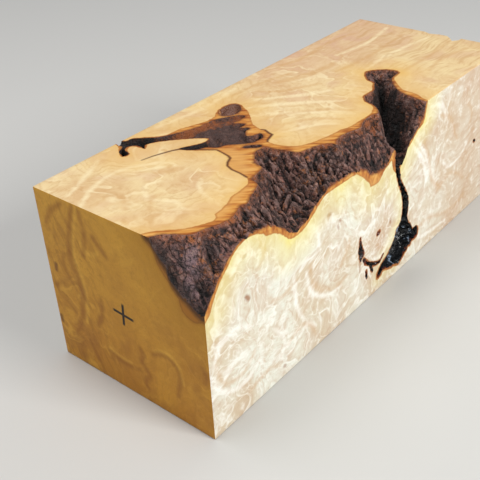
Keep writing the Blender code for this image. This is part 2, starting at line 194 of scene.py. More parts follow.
# %% The crack, the black knot and the fissures on the long face
CRACK_AND_KNOT = [
    (12.6, 84), (11.9, 76), (12.8, 71.5), (14.4, 65.4), (17.2, 58.8), (21.1, 51.6), (23.2, 43.8),
    (23.2, 37), (22.2, 33.2), (18.2, 30.4), (17.3, 28), (16.6, 25.8), (14.1, 22.5), (11.4, 20.2),
    (9.2, 18.2), (4.5, 15.9), (2.1, 13.8), (0.4, 11.6), (0, 9.4), (1.4, 8.2), (3.6, 9), (5.4, 10.6),
    (9, 10.2), (12.1, 8.8), (15.1, 7.6), (17.6, 8), (20, 6.6), (23.1, 5.5), (25.4, 6.5),
    (28.8, 8.6), (31.2, 9.8), (33, 12), (35.4, 11.6), (36.2, 13.4), (38.4, 13.6), (42.2, 13.6),
    (43.6, 16.2), (42.4, 19.8), (39.8, 21.2), (37, 21.2), (33.8, 26.1), (30.9, 29.3),
    (29.4, 32.6), (29.7, 38.7), (28.5, 46.4), (24.4, 53.2),
    (19.6, 60.2), (17.2, 67.5), (17, 70.6), (19.6, 73), (20.6, 77), (22.5, 84),
]
FISSURES = [
    [(-19.3, 44.6, 0.4), (-19, 41.5, 0.9), (-18.6, 37, 1.9), (-17.2, 33, 2.4), (-17.6, 30.6, 1)],
    [(-15, 29.4, 0.8), (-12.8, 26.2, 1.2), (-9.4, 23.4, 1.1), (-6, 21.3, 1.2), (-1.8, 19.1, 1),
     (2, 18.8, 0.8), (5, 21.4, 0.5)],
    [(-7.6, 21.6, 1), (-6.6, 18.6, 0.9), (-5.4, 16.3, 0.5)],
    [(-11.8, 20.2, 0.6), (-11.6, 17.6, 0.9), (-11, 15, 0.4)],
    [(-1.6, 38.4, 1.2), (-0.6, 38.5, 1.2)],
    [(107.4, 47.5, 0.8), (108.8, 46.7, 0.8)],
]

# %% [markdown]
# ## The outer side of the inner bark
# Between the dark bark and the pale wood lies the inner bark, a band that is orange-brown. It is
# sawn flush with the wood, so it has no shape of its own. Its outer side is one closed line on each
# sawn face, and everything inside that line is not wood.

# %% The line between the inner bark and the wood, on three faces
NOT_WOOD_TOP = [
    (-150, -14), (-136.5, -18.5), (-133, -20), (-130, -22.5), (-127, -26), (-124, -29), (-120, -32),
    (-115.6, -34.3), (-112, -35.8), (-109, -35.2), (-107, -33), (-103.3, -32.7), (-99, -31.8),
    (-95.6, -31), (-92.8, -29.3), (-86.7, -29.3), (-81, -28.5), (-77.5, -27), (-75, -23.8),
    (-73.9, -19.3), (-73.3, -13.8), (-71.7, -9.9), (-68.9, -7.7), (-65, -6), (-63.9, -3.8),
    (-62.8, 1.2), (-62.2, 4.6), (-63.3, 5.7), (-67.2, 10.7), (-70, 15.1), (-72, 19.6),
    (-70.6, 20.6), (-66, 18), (-60, 15.2), (-55.6, 15.6), (-56.4, 18.2), (-60.9, 23.7),
    (-67, 29.8), (-72.7, 34.6), (-77, 36.3), (-80.8, 33.9), (-81.5, 39.5), (-83.5, 41.9),
    (-87, 40.2), (-88.8, 36.4), (-91.8, 36), (-92.9, 38.2), (-90, 42.3), (-86.4, 46.7),
    (-85.6, 50), (-86.4, 60), (-81, 60), (-80.8, 50.5), (-79.2, 47.8), (-76.2, 47.6),
    (-71.4, 42.4), (-67.4, 38.2), (-63.3, 35.7), (-55.6, 35.1), (-51.1, 33.4), (-46.7, 31.8),
    (-42.2, 30.1), (-37.8, 29.6), (-33.9, 30.1), (-30, 32.6), (-23.5, 34.5), (-17.6, 33.7),
    (-15, 30.4), (-16.2, 26.4), (-18.3, 22.9), (-20, 19.6), (-23.9, 15.1), (-27.2, 11.8),
    (-30.6, 7.9), (-32.2, 4), (-32.8, 0.7), (-32.2, -1), (-33.9, -4.9), (-34.4, -7.1),
    (-40, -8.8), (-41.7, -9.9), (-42.2, -14.3), (-41.1, -18.8), (-38.9, -23.2), (-35.6, -26),
    (-31.1, -28.2), (-26.7, -29.3), (-21.1, -30.7), (-15, -31.5), (-11.7, -31.8), (-6, -33.8),
    (2, -34), (11, -34.3), (16.7, -32.7), (20, -31), (22.2, -28.2), (23.3, -24.3), (26.1, -21),
    (30, -18.8), (35.6, -18.9), (39.2, -18.8), (43.8, -15.7), (47.8, -13.5), (48.5, -9.8),
    (52.7, -5.4), (59.5, -1.7), (66.5, -7.1), (70, -13.4), (68.4, -18.7), (61.3, -19.6),
    (58, -21), (51.5, -27.5), (47.5, -32.5), (47.5, -38), (45.5, -43.5), (42.8, -49), (42, -70),
    (42, -95), (-150, -95),
]
NOT_WOOD_FRONT = [
    (-150, 60), (-136, 66), (-131.7, 71), (-128.9, 76), (-125.6, 80.4), (-121.1, 84.3),
    (-117.8, 87.7), (-115, 89.9), (-108.9, 91.8), (-104.4, 91.6), (-100, 89.9), (-96.7, 88.2),
    (-94.4, 86), (-90, 84.9), (-86.7, 83.2), (-83.3, 80.4), (-80, 77.1), (-76.7, 75.4),
    (-73.3, 75.1), (-69, 75.5), (-65, 77), (-60, 80), (-55, 83.5), (-50, 85.2), (-40, 85),
    (-30, 84.6), (-25, 84), (-20, 80.5), (-15, 76), (-12, 73), (-11.7, 71), (-3.9, 70.2),
    (-1.1, 72.1), (1.7, 74.9), (5, 76), (7.2, 77.1), (8.3, 76.6), (9.4, 73.2), (11.1, 69.9),
    (12.8, 67.7), (17, 68), (19, 70.5), (21.5, 76), (23.9, 77.1), (27.8, 78.8), (31.1, 81.6),
    (34.4, 83.8), (38.3, 84.9), (40.6, 87.1), (41.1, 90.4), (42.2, 95.4), (42.6, 110),
    (42, 140), (-150, 140),
]
NOT_WOOD_END = [
    (-18, 110), (-19, 97), (-22, 93.5), (-25, 90), (-26, 86), (-28, 83), (-31, 79.5), (-33, 76),
    (-36, 73), (-37, 69), (-38, 66.5), (-41, 64.5), (-45, 64), (-49, 66), (-60, 66), (-60, 110),
]

# %% [markdown]
# ## Measuring on a face
# Two small tools do all the measuring. One smooths an outline into a curve, and the other tells how
# far each point lies inside it. The distance is what shapes the slope of the bark and what places
# the colours beside it.

# %% Curves and distances


def smooth_outline(points, closed=True, steps=3):
    """A Catmull-Rom curve through the points, as an array of pairs."""
    knots = np.array(points, dtype=float)
    count = len(knots)
    spans = count if closed else count - 1
    curve = []
    for span in range(spans):
        before = knots[span - 1] if closed or span > 0 else knots[0]
        start = knots[span]
        end = knots[(span + 1) % count]
        after = knots[(span + 2) % count] if closed or span + 2 < count else knots[-1]
        for step in range(steps):
            t = step / steps
            bend = 2 * before - 5 * start + 4 * end - after
            twist = 3 * start - before - 3 * end + after
            curve.append((2 * start + (end - before) * t + bend * t**2 + twist * t**3) / 2)
    if not closed:
        curve.append(knots[-1])
    return np.array(curve)


def nearest_on(u, v, start, end):
    """Distance from each (u, v) to one straight stretch, and how far along it the foot lies."""
    along = end[:2] - start[:2]
    length_squared = max(along @ along, 1e-9)
    foot = ((u - start[0]) * along[0] + (v - start[1]) * along[1]) / length_squared
    foot = np.clip(foot, 0, 1)
    gap = np.hypot(u - start[0] - foot * along[0], v - start[1] - foot * along[1])
    return gap, foot


def inside(u, v, outline):
    """How far each (u, v) lies inside a closed outline, in millimetres; negative outside."""
    gap = np.full(u.shape, np.inf)
    odd = np.zeros(u.shape, dtype=bool)
    for start, end in zip(outline, np.roll(outline, -1, axis=0)):
        gap = np.minimum(gap, nearest_on(u, v, start, end)[0])
        if start[1] == end[1]:
            continue
        crossing = start[0] + (v - start[1]) * (end[0] - start[0]) / (end[1] - start[1])
        odd ^= ((start[1] > v) != (end[1] > v)) & (u < crossing)
    return np.where(odd, gap, -gap)


def groove(u, v, line):
    """How far each (u, v) lies inside a line of (u, v, half width); negative outside."""
    points = np.array(line, dtype=float)
    best = np.full(u.shape, -np.inf)
    for start, end in zip(points, points[1:]):
        gap, foot = nearest_on(u, v, start, end)
        best = np.maximum(best, start[2] + (end[2] - start[2]) * foot - gap)
    return best


def ease(value, start, end):
    """0 before start, 1 after end, and a smooth step between them."""
    t = np.clip((value - start) / (end - start), 0, 1)
    return t * t * (3 - 2 * t)


BARK_LINE = np.vstack([smooth_outline(BARK_LINE_TOP, closed=False), BARK_LINE_CORNERS])
POCKET_LINE = smooth_outline(POCKET)
LOBE_LINE = smooth_outline(LOBE)
GRAIN_POCKET_LINE = smooth_outline(GRAIN_POCKET)
FAR_NOTCH_LINE = np.array(FAR_NOTCH, dtype=float)
FAR_HOLLOW_LINE = np.array(FAR_HOLLOW, dtype=float)
CRACK_LINE = smooth_outline(CRACK_AND_KNOT)
WOOD_LINE_TOP = smooth_outline(NOT_WOOD_TOP, steps=2)
WOOD_LINE_FRONT = smooth_outline(NOT_WOOD_FRONT, steps=2)
WOOD_LINE_END = smooth_outline(NOT_WOOD_END, steps=2)
print("points in the bark line on top:", len(BARK_LINE))

# %% [markdown]
# ## The relief of the bark
# The bark slope runs from its line on the top down to its line on the long face and on the end. Each
# point's depth is a mean of what those three lines ask for, and the nearer line counts for more.
# Valleys, plates, ridges and crumbs are then added on that slope. Grown plates are flaky, so each
# one gets a height of its own and a small furrow round it.

# %% The sizes of the slope and of the pockets, in millimetres
END_HOLD = 11.0
BARK_VALLEYS = [
    ([(60, -11, 4.5), (51, -16, 9), (46.5, -20, 12), (41, -26, 15), (36, -30.5, 16),
      (29.5, -38, 17), (19, -47, 9)], 7.0),
    ([(35, -24, 3), (27, -27, 3), (22, -38, 3)], 5.0),
    ([(-67, -25, 1.5), (-70, -36, 7), (-73, -45, 5)], 5.5),
    ([(-125, -38, 2), (-129, -43, 5)], 4.5),
    ([(-52, -22, 2.5), (-57, -33, 4), (-60, -43, 3)], 6.0),
    ([(-27, -40, 1.5), (-24, -46, 3)], 2.6),
]
VALLEY_RUN_IN = 6.0
EDGE_STEP = 1.1
EDGE_RUN = 1.3
LEAST_SLOPE = 0.4
NEAR_LINE = 0.2
NEAR_FACE = 0.1
OUTSIDE_RISE = 1.6
ROUGH_RUN = 4.0
ROUGH_AT_SAWN_FACES = 0.35
PLATE_ACROSS = 6.5
PLATE_DOWN = 13.0
PLATE_WANDER = 0.5
FURROW_DEPTH = 1.5
FURROW_SHARE = 0.35
LUMP_SIZE = 17.0
LUMP_DEPTH = 1.6
NOISE_PLACE = Vector((3.7, 1.9, 8.3))

# The seed of the wander of the bark's furrows, which makes them fall the same way each time
WANDER_SEED = 1795981177
noise.seed_set(WANDER_SEED)

# Finer bark than the solid has: flakes with a height of their own, ridges and crumbs
FLAKE_ACROSS = 2.6
FLAKE_DOWN = 4.6
FLAKE_STEP = 1.4
RIDGE_ACROSS = 1.6
RIDGE_DOWN = 5.0
RIDGE_DEPTH = 0.7
CRUMB_SIZE = 1.5
CRUMB_DEPTH = 0.8
BEND_SIZE = 10.0
BEND_BY = 4.0
RUGGED_SIZE = 6.0
RUGGED_BY = 5.0
GASH_ACROSS = 4.5
GASH_DOWN = 16.0
GASH_DEPTH = 2.6
GASH_SHARE = 0.18
CRUMBLY_FROM = -58.0
CRUMBLY_TO = -38.0
SQUEEZE = 1.1
CALM_FROM = 106.0
CALM_TO = 116.0
CALM_SHARE = 0.6
CALM_RIGHT_FROM = -34.0
CALM_RIGHT_TO = -14.0
CALM_RIGHT_SHARE = 0.4

POCKET_SHALLOW = 1.7
POCKET_DEEP = 13.0
POCKET_SHALLOW_X = -48.0
POCKET_DEEP_X = -76.0
SLOT_END_DEPTH = 1.6
SLOT_END_FROM = 40.0
SLOT_END_TO = 48.5
POCKET_SLOTS = [
    ([(-72, 19.5, 3), (-66, 14.5, 8), (-58, 11.5, 6), (-54, 14, 2)], 3.4),
    ([(-50, 2, 1.5), (-42, -2, 2.2)], 5.0),
]
POCKET_WALL = 2.4
SLOT_WALL = 7.0
POCKET_GRAIN_SIZE = 5.0
POCKET_GRAIN_DEPTH = 0.7
LOBE_DEPTH = 2.1
LOBE_BULGE = 1.5
LOBE_BULGE_FROM = 0.7
LOBE_BULGE_TO = 3.6
GRAIN_POCKET_DEPTH = 1.3
LOBE_WALL = 1.5
FAR_NOTCH_DEPTH = 24.0
FAR_NOTCH_WALL = 4.5
FAR_HOLLOW_DEPTH = 7.0
FAR_HOLLOW_WALL = 3.0

# %% Lumps, furrows and flakes


def lumps(u, v, size_u, size_v):
    """Smooth noise between about -1 and 1, with lumps of the given sizes."""
    places = (Vector((a / size_u, b / size_v, 0)) + NOISE_PLACE for a, b in zip(u.flat, v.flat))
    return np.array([noise.noise(place) for place in places]).reshape(u.shape)


def furrows(u, v, across, down, share):
    """1 in the furrows between bark plates and 0 on them, and a height from 0 to 1 for each plate."""
    depth = np.zeros(u.shape)
    height = np.zeros(u.shape)
    for index, (a, b) in enumerate(zip(u.flat, v.flat)):
        place = Vector((a / across, b / down, 0)) + NOISE_PLACE
        place += noise.noise_vector(place) * PLATE_WANDER
        near, centres = noise.voronoi(place)
        depth.flat[index] = max(0, 1 - (near[1] - near[0]) / share)
        height.flat[index] = noise.cell(centres[0] * 40)
    return depth, height


def valley(u, v, line, half_width):
    """Extra depth near a valley line of (u, v, depth), fading over its half width."""
    points = np.array(line, dtype=float)
    deepest = np.zeros(u.shape)
    for start, end in zip(points, points[1:]):
        gap, foot = nearest_on(u, v, start, end)
        depth = start[2] + (end[2] - start[2]) * foot
        deepest = np.maximum(deepest, depth * np.exp(-((gap / half_width) ** 2)))
    return deepest


def open_at(edge, floor_depth, wall):
    """Depth of a pocket: its walls slope in from its edge until they meet its floor."""
    return np.where(edge > 0, np.minimum(floor_depth, wall * edge), OUTSIDE_RISE * edge)


# %% The bark slope


def bark_slope(x, y):
    """Depth of the bark slope under the top face, which meets the bark line of three faces."""
    edge = inside(x, y, BARK_LINE)
    to_top = np.maximum(edge, NEAR_LINE)
    to_front = np.maximum(y + HALF_WIDTH, NEAR_FACE)
    to_end = np.maximum(x + HALF_LENGTH, NEAR_FACE)
    front = TOP - np.interp(x, *np.array(BARK_LINE_FRONT, dtype=float).T)
    end = TOP - np.interp(y, *np.array(BARK_LINE_END, dtype=float).T)
    end_pull = np.exp(-to_end / END_HOLD) / to_end
    depth = (front / to_front + end * end_pull) / (1 / to_top + 1 / to_front + end_pull)
    away = ease(to_front, 0, ROUGH_RUN) * ease(to_end, 0, ROUGH_RUN)
    depth += EDGE_STEP * np.clip(edge / EDGE_RUN, 0, 1) * away
    bend = BEND_BY * lumps(x, y, BEND_SIZE, BEND_SIZE)
    rugged = x + bend + RUGGED_BY * lumps(x, y, RUGGED_SIZE, RUGGED_SIZE)
    for points, half_width in BARK_VALLEYS:
        depth += valley(rugged, y, points, half_width) * ease(edge, 0, VALLEY_RUN_IN)
    rough = ease(edge, 0, ROUGH_RUN) * (ROUGH_AT_SAWN_FACES + (1 - ROUGH_AT_SAWN_FACES) * away)
    on_bark = edge > 0
    squeeze = 1 + SQUEEZE * ease(x[on_bark], CRUMBLY_FROM, CRUMBLY_TO)
    u, v = x[on_bark] + bend[on_bark], y[on_bark] * squeeze + 0.5 * bend[on_bark]
    plate_gap, _ = furrows(u, v, PLATE_ACROSS, PLATE_DOWN, FURROW_SHARE)
    flake_gap, flake_height = furrows(u, v, FLAKE_ACROSS, FLAKE_DOWN, FURROW_SHARE)
    detail = FURROW_DEPTH * plate_gap - LUMP_DEPTH * lumps(u, v, LUMP_SIZE, LUMP_SIZE)
    fine = FLAKE_STEP * (flake_height - 0.5) + FLAKE_STEP / 2 * flake_gap
    fine += RIDGE_DEPTH * lumps(u, v, RIDGE_ACROSS, RIDGE_DOWN)
    fine += CRUMB_DEPTH * lumps(u, v, CRUMB_SIZE, CRUMB_SIZE)
    gash = 1 - np.abs(lumps(u, v, GASH_ACROSS, GASH_DOWN)) / GASH_SHARE
    fine += GASH_DEPTH * np.maximum(gash, 0)
    calm = CALM_SHARE * ease(-x[on_bark], CALM_FROM, CALM_TO)
    calm += CALM_RIGHT_SHARE * ease(x[on_bark], CALM_RIGHT_FROM, CALM_RIGHT_TO)
    detail += fine * (1 - calm)
    depth[on_bark] += detail * rough[on_bark]
    return np.where(on_bark, np.maximum(depth, LEAST_SLOPE * edge), OUTSIDE_RISE * edge)


# %% The pockets and everything else that is open at the top


def bark_pocket(x, y):
    """Depth of the bark pocket: nearly level at its right and deep at its slot on the left."""
    edge = inside(x, y, POCKET_LINE)
    deep = ease(-x, -POCKET_SHALLOW_X, -POCKET_DEEP_X)
    depth = POCKET_SHALLOW + (POCKET_DEEP - POCKET_SHALLOW) * deep
    depth += (SLOT_END_DEPTH - depth) * ease(y, SLOT_END_FROM, SLOT_END_TO)
    for points, half_width in POCKET_SLOTS:
        depth += valley(x, y, points, half_width)
    in_pocket = edge > 0
    u, v = x[in_pocket], y[in_pocket]
    depth[in_pocket] += POCKET_GRAIN_DEPTH * lumps(u, v, POCKET_GRAIN_SIZE, POCKET_GRAIN_SIZE)
    depth[in_pocket] += CRUMB_DEPTH * lumps(u, v, RIDGE_DOWN / 2, CRUMB_SIZE)
    wall = POCKET_WALL + (SLOT_WALL - POCKET_WALL) * deep
    return open_at(edge, depth, wall)


def lobe(x, y):
    """Depth of the small lobe beside the pocket, whose floor bulges up like a cushion."""
    edge = inside(x, y, LOBE_LINE)
    floor_depth = LOBE_DEPTH - LOBE_BULGE * ease(edge, LOBE_BULGE_FROM, LOBE_BULGE_TO)
    return open_at(edge, floor_depth, LOBE_WALL)


def top_relief(x, y):
    """Depth of everything that is open at the top face; negative where the face is sound."""
    return np.maximum.reduce([
        bark_slope(x, y),
        bark_pocket(x, y),
        lobe(x, y),
        open_at(inside(x, y, GRAIN_POCKET_LINE), GRAIN_POCKET_DEPTH, LOBE_WALL),
        open_at(inside(x, y, FAR_NOTCH_LINE), FAR_NOTCH_DEPTH, FAR_NOTCH_WALL),
        open_at(inside(x, y, FAR_HOLLOW_LINE), FAR_HOLLOW_DEPTH, FAR_HOLLOW_WALL),
    ])


# %% The crack, the knot and the fissures in the long face
CRACK_DEPTH = 12.0
CRACK_WALL = 3.2
KNOT_DEPTH = 5.5
KNOT_UPPER_Z = 36.0
KNOT_RUN_IN = 8.0
KNOT_LUMP_SIZE = 6.0
KNOT_LUMP_DEPTH = 2.6
KNOT_NODULE_SIZE = 3.2
KNOT_NODULE_DEPTH = 2.0
FISSURE_WALL = 1.6
FISSURE_DEPTH = 2.4
RAGGED_SIZE = 1.8
RAGGED_BY = 1.0


def front_relief(x, z):
    """Depth of everything that is open at the long face; negative where the face is sound."""
    in_knot = 1 - ease(z, KNOT_UPPER_Z - KNOT_RUN_IN, KNOT_UPPER_Z)
    depth = CRACK_DEPTH + (KNOT_DEPTH - CRACK_DEPTH) * in_knot
    depth += KNOT_LUMP_DEPTH * lumps(x, z, KNOT_LUMP_SIZE, KNOT_LUMP_SIZE)
    depth += KNOT_NODULE_DEPTH * lumps(x, z, KNOT_NODULE_SIZE, KNOT_NODULE_SIZE)
    ragged = RAGGED_BY * lumps(x, z, RAGGED_SIZE, RAGGED_SIZE)
    relief = open_at(inside(x, z, CRACK_LINE) + ragged, depth, CRACK_WALL)
    for line in FISSURES:
        edge = groove(x, z, line) + ragged
        relief = np.maximum(relief, open_at(edge, FISSURE_DEPTH, FISSURE_WALL))
    return relief


# %% [markdown]
# ## The sawn block
# A saw leaves flat faces and sharp edges, so the block starts as a cube of its real size. Its edges
# get a very small bevel, because no sawn edge is perfectly sharp, and that bevel catches the light.
# The faces are then divided, first all over and again beside the bark, because the colours near the
# bark are stored at the corners of the faces.

# %% Tools for choosing faces and edges by place
LONG_EDGE = 0.05


def start_editing(piece):
    """Edits one piece alone, with nothing of it selected."""
    bpy.ops.object.select_all(action="DESELECT")
    piece.select_set(True)
    bpy.context.view_layer.objects.active = piece
    bpy.ops.object.mode_set(mode="EDIT")
    bpy.ops.mesh.select_all(action="DESELECT")


def divide_edges_along(piece, axis, cuts):
    """Divides the long edges that run along one axis, all round the block."""
    start_editing(piece)
    bpy.ops.mesh.select_mode(type="EDGE")
    shape = bmesh.from_edit_mesh(piece.data)
    for edge in shape.edges:
        run = edge.verts[1].co - edge.verts[0].co
        edge.select_set(abs(run[axis]) > LONG_EDGE)
    bmesh.update_edit_mesh(piece.data)
    bpy.ops.mesh.subdivide(number_cuts=cuts)
    bpy.ops.object.mode_set(mode="OBJECT")


def divide_faces(piece, wanted):
    """Divides each face in four where wanted(centres, normals), in mm, is true.

    A neighbour that is left with five corners or more is split into triangles, because a later
    round can divide only triangles and quads.
    """
    start_editing(piece)
    bpy.ops.mesh.select_mode(type="FACE")
    shape = bmesh.from_edit_mesh(piece.data)
    faces = list(shape.faces)
    centres = np.array([face.calc_center_median() / MM for face in faces])
    normals = np.array([face.normal for face in faces])
    for face, chosen in zip(faces, wanted(centres, normals)):
        face.select_set(bool(chosen))
    bmesh.update_edit_mesh(piece.data)
    bpy.ops.mesh.subdivide(number_cuts=1)
    bpy.ops.mesh.select_all(action="DESELECT")
    bpy.ops.mesh.select_face_by_sides(number=4, type="GREATER")
    bpy.ops.mesh.quads_convert_to_tris()
    bpy.ops.object.mode_set(mode="OBJECT")
    print("faces after dividing:", len(piece.data.polygons))


# %% The block as the saw leaves it
ARRIS = 0.35
CELLS_LONG = 68
CELLS_ACROSS = 25
CELLS_HIGH = 24

bpy.ops.object.select_all(action="DESELECT")
bpy.ops.mesh.primitive_cube_add(
    size=1, location=(0, 0, TOP / 2 * MM), scale=(LENGTH * MM, WIDTH * MM, TOP * MM)
)
block = bpy.context.object
block.name = "burl_block"
bpy.ops.object.transform_apply(location=True, rotation=True, scale=True)
start_editing(block)
bpy.ops.mesh.select_all(action="SELECT")
bpy.ops.mesh.bevel(offset=ARRIS * MM, segments=2, affect="EDGES")
bpy.ops.object.mode_set(mode="OBJECT")
divide_edges_along(block, 0, CELLS_LONG - 1)
divide_edges_along(block, 1, CELLS_ACROSS - 1)
divide_edges_along(block, 2, CELLS_HIGH - 1)
print("faces of the sawn block:", len(block.data.polygons))

# %% [markdown]
# ## Lines in the wood
# Thin dark cracks run from the bark through the inner bark. Burl wood also has long pale veins,
# tan curves that sweep round its buds, and a few small brown flecks. All of them are flat, so they
# are colour only, and each is a line with a half width. The faces under them are divided finely
# enough to hold them.

# %% Cracks and flecks, as lines with a half width in mm
CRACKS_TOP = [
    [(-71.2, 19.6, 0.5), (-62.2, 4.6, 0.22), (-62.8, 1.2, 0.2), (-63.9, -3.8, 0.3),
     (-65, -6, 0.35), (-68.9, -7.7, 0.3), (-71.7, -9.9, 0.25), (-73.3, -13.8, 0.25),
     (-73.9, -19.3, 0.2), (-75, -23.8, 0.3)],
    [(-32.8, 0.7, 0.2), (-32.2, -1, 0.3), (-33.9, -4.9, 0.4), (-34.4, -7.1, 0.45),
     (-40, -8.8, 0.35), (-41.7, -9.9, 0.15)],
    [(-71, 19.6, 0.5), (-75, 22, 0.35), (-80, 24, 0.3), (-84, 25.5, 0.22), (-90, 27, 0.05)],
]
FLECKS = {
    "top": [
        [(-64.5, -5.2, 0.9), (-61, -6.6, 0.7), (-58.5, -7, 0.2)],
        [(-40.8, 3.6, 0.5), (-37.3, 1.2, 0.3)],
    ],
    "front": [
        [(-110, 63.4, 0.9), (-108.4, 61.6, 0.9)], [(-84.4, 6.4, 0.5), (-83.6, 5.8, 0.4)],
        [(-49, 73.2, 0.4), (-46.8, 72.8, 0.5)], [(-39, 65.5, 0.4), (-37.8, 64.6, 0.3)],
        [(-110.3, 84, 0.5), (-109, 84.2, 0.4)], [(-18.6, 29.3, 0.5), (-18.3, 23.2, 0.2)],
        [(10.4, 40.6, 0.6), (11, 38.4, 0.5)], [(-40.4, 63, 0.3), (-39.4, 61, 0.2)],
    ],
    "end": [
        [(44, 57.2, 0.7), (44.7, 53.6, 0.6)], [(48.4, 24.4, 0.9), (48.2, 21.4, 0.7)],
    ],
}

# %% Tan curves and pale veins
CURVES = {
    "top": [
        [(-94, 12, 1.5), (-90, 10, 2.6), (-86, 6.5, 1.2)],
        [(4, 34, 0.4), (10, 22, 0.7), (24, 14, 0.7), (31, 10, 0.4)],
        [(40, 44, 0.5), (60, 40, 0.9), (85, 42, 0.7), (110, 38, 0.5)],
        [(20, 30, 1.2), (40, 22, 2.0), (60, 20, 1.2)], [(50, 12, 0.6), (80, 9, 0.8), (125, 12, 0.5)],
        [(66, -18, 0.4), (95, -20, 0.6), (128, -18, 0.4)],
        [(80, -31, 0.4), (100, -28, 0.6), (125, -33, 0.4)],
        [(-30, 10, 0.3), (-12, 2, 0.5), (4, -12, 0.5), (12, -26, 0.3)],
        [(-24, -4, 0.3), (-10, -12, 0.5), (0, -26, 0.3)],
        [(-120, -8, 0.4), (-112, -2, 0.5), (-103, -6, 0.3)],
        [(-131, 14, 0.4), (-122, 15, 0.5), (-120, 8, 0.5), (-126, 1, 0.4)],
        [(-18, 40, 0.4), (10, 38, 0.6), (36, 32, 0.4)],
    ],
    "front": [
        [(-63, 52, 0.4), (-61, 42, 0.7), (-56, 35, 0.8), (-48, 30, 0.6), (-40, 27.5, 0.5),
         (-31, 28, 0.3)],
        [(-30, 50, 0.5), (-32, 43, 0.9), (-37, 38, 0.6)],
        [(-132, 41, 0.4), (-127, 27, 0.6), (-114, 24, 0.5), (-106, 31, 0.4)],
        [(-100, 88, 0.4), (-97, 80, 0.6), (-100, 74, 0.4)],
        [(-92, 50, 0.3), (-84, 48, 0.5), (-78, 50, 0.3)],
        [(60, 82, 0.4), (72, 76, 0.8), (78, 66, 0.7), (84, 58, 0.4)],
        [(42, 74, 0.3), (50, 60, 0.6), (56, 44, 0.8), (68, 34, 0.5)],
        [(40, 18, 0.5), (56, 19, 0.7), (70, 14, 0.6), (86, 11, 0.5), (102, 13, 0.4)],
        [(64, 34, 0.4), (78, 38, 0.6), (90, 33, 0.6), (98, 26, 0.4)],
        [(92, 78, 0.4), (100, 70, 0.8), (98, 60, 0.5)],
        [(-80, 18, 0.4), (-70, 22, 0.5), (-62, 16, 0.7), (-58, 8, 0.5)],
        [(-110, 10, 0.4), (-96, 13, 0.5), (-88, 9, 0.3)],
    ],
    "end": [
        [(24, 95, 0.5), (27.5, 86, 1.0), (31, 70, 1.3), (32, 64, 1.4), (28.5, 55, 1.4),
         (27.5, 48, 1.3), (29.5, 38, 1.2), (31.5, 30, 1.1), (35, 23, 0.9), (38.5, 17, 0.5)],
        [(15, 49, 0.4), (15, 43, 0.8), (17, 37, 1.1), (20.5, 32, 0.6)],
        [(14, 19, 0.5), (7.5, 16.8, 1.1), (0.5, 16.8, 0.8), (-6, 17.5, 0.5)],
        [(-8, 32, 0.6), (-9.5, 28, 0.9), (-8, 23.5, 0.9), (-12, 17.5, 0.9), (-8.5, 12, 0.8),
         (-9.5, 8.5, 0.5)],
        [(-16, 32.5, 0.9), (-21, 35, 0.7), (-27.5, 34.4, 0.5), (-31.8, 29.5, 0.6), (-31, 21, 0.7),
         (-29.3, 15, 0.5)],
        [(13, 83.5, 0.9), (10, 80, 0.7), (6.5, 76.5, 0.5)],
        [(47.5, 43.5, 0.5), (41.5, 48, 0.8), (37.5, 51, 0.4)],
        [(-46, 40, 0.5), (-48, 36, 0.9), (-47, 32, 0.5)],
        [(22, 70, 0.4), (18.5, 84, 0.9), (20, 94, 0.5)], [(45, 80, 0.5), (40, 88, 1.0), (32, 94, 0.5)],
        [(36, 66, 0.5), (38, 60, 0.6), (34, 50, 0.5)],
    ],
}
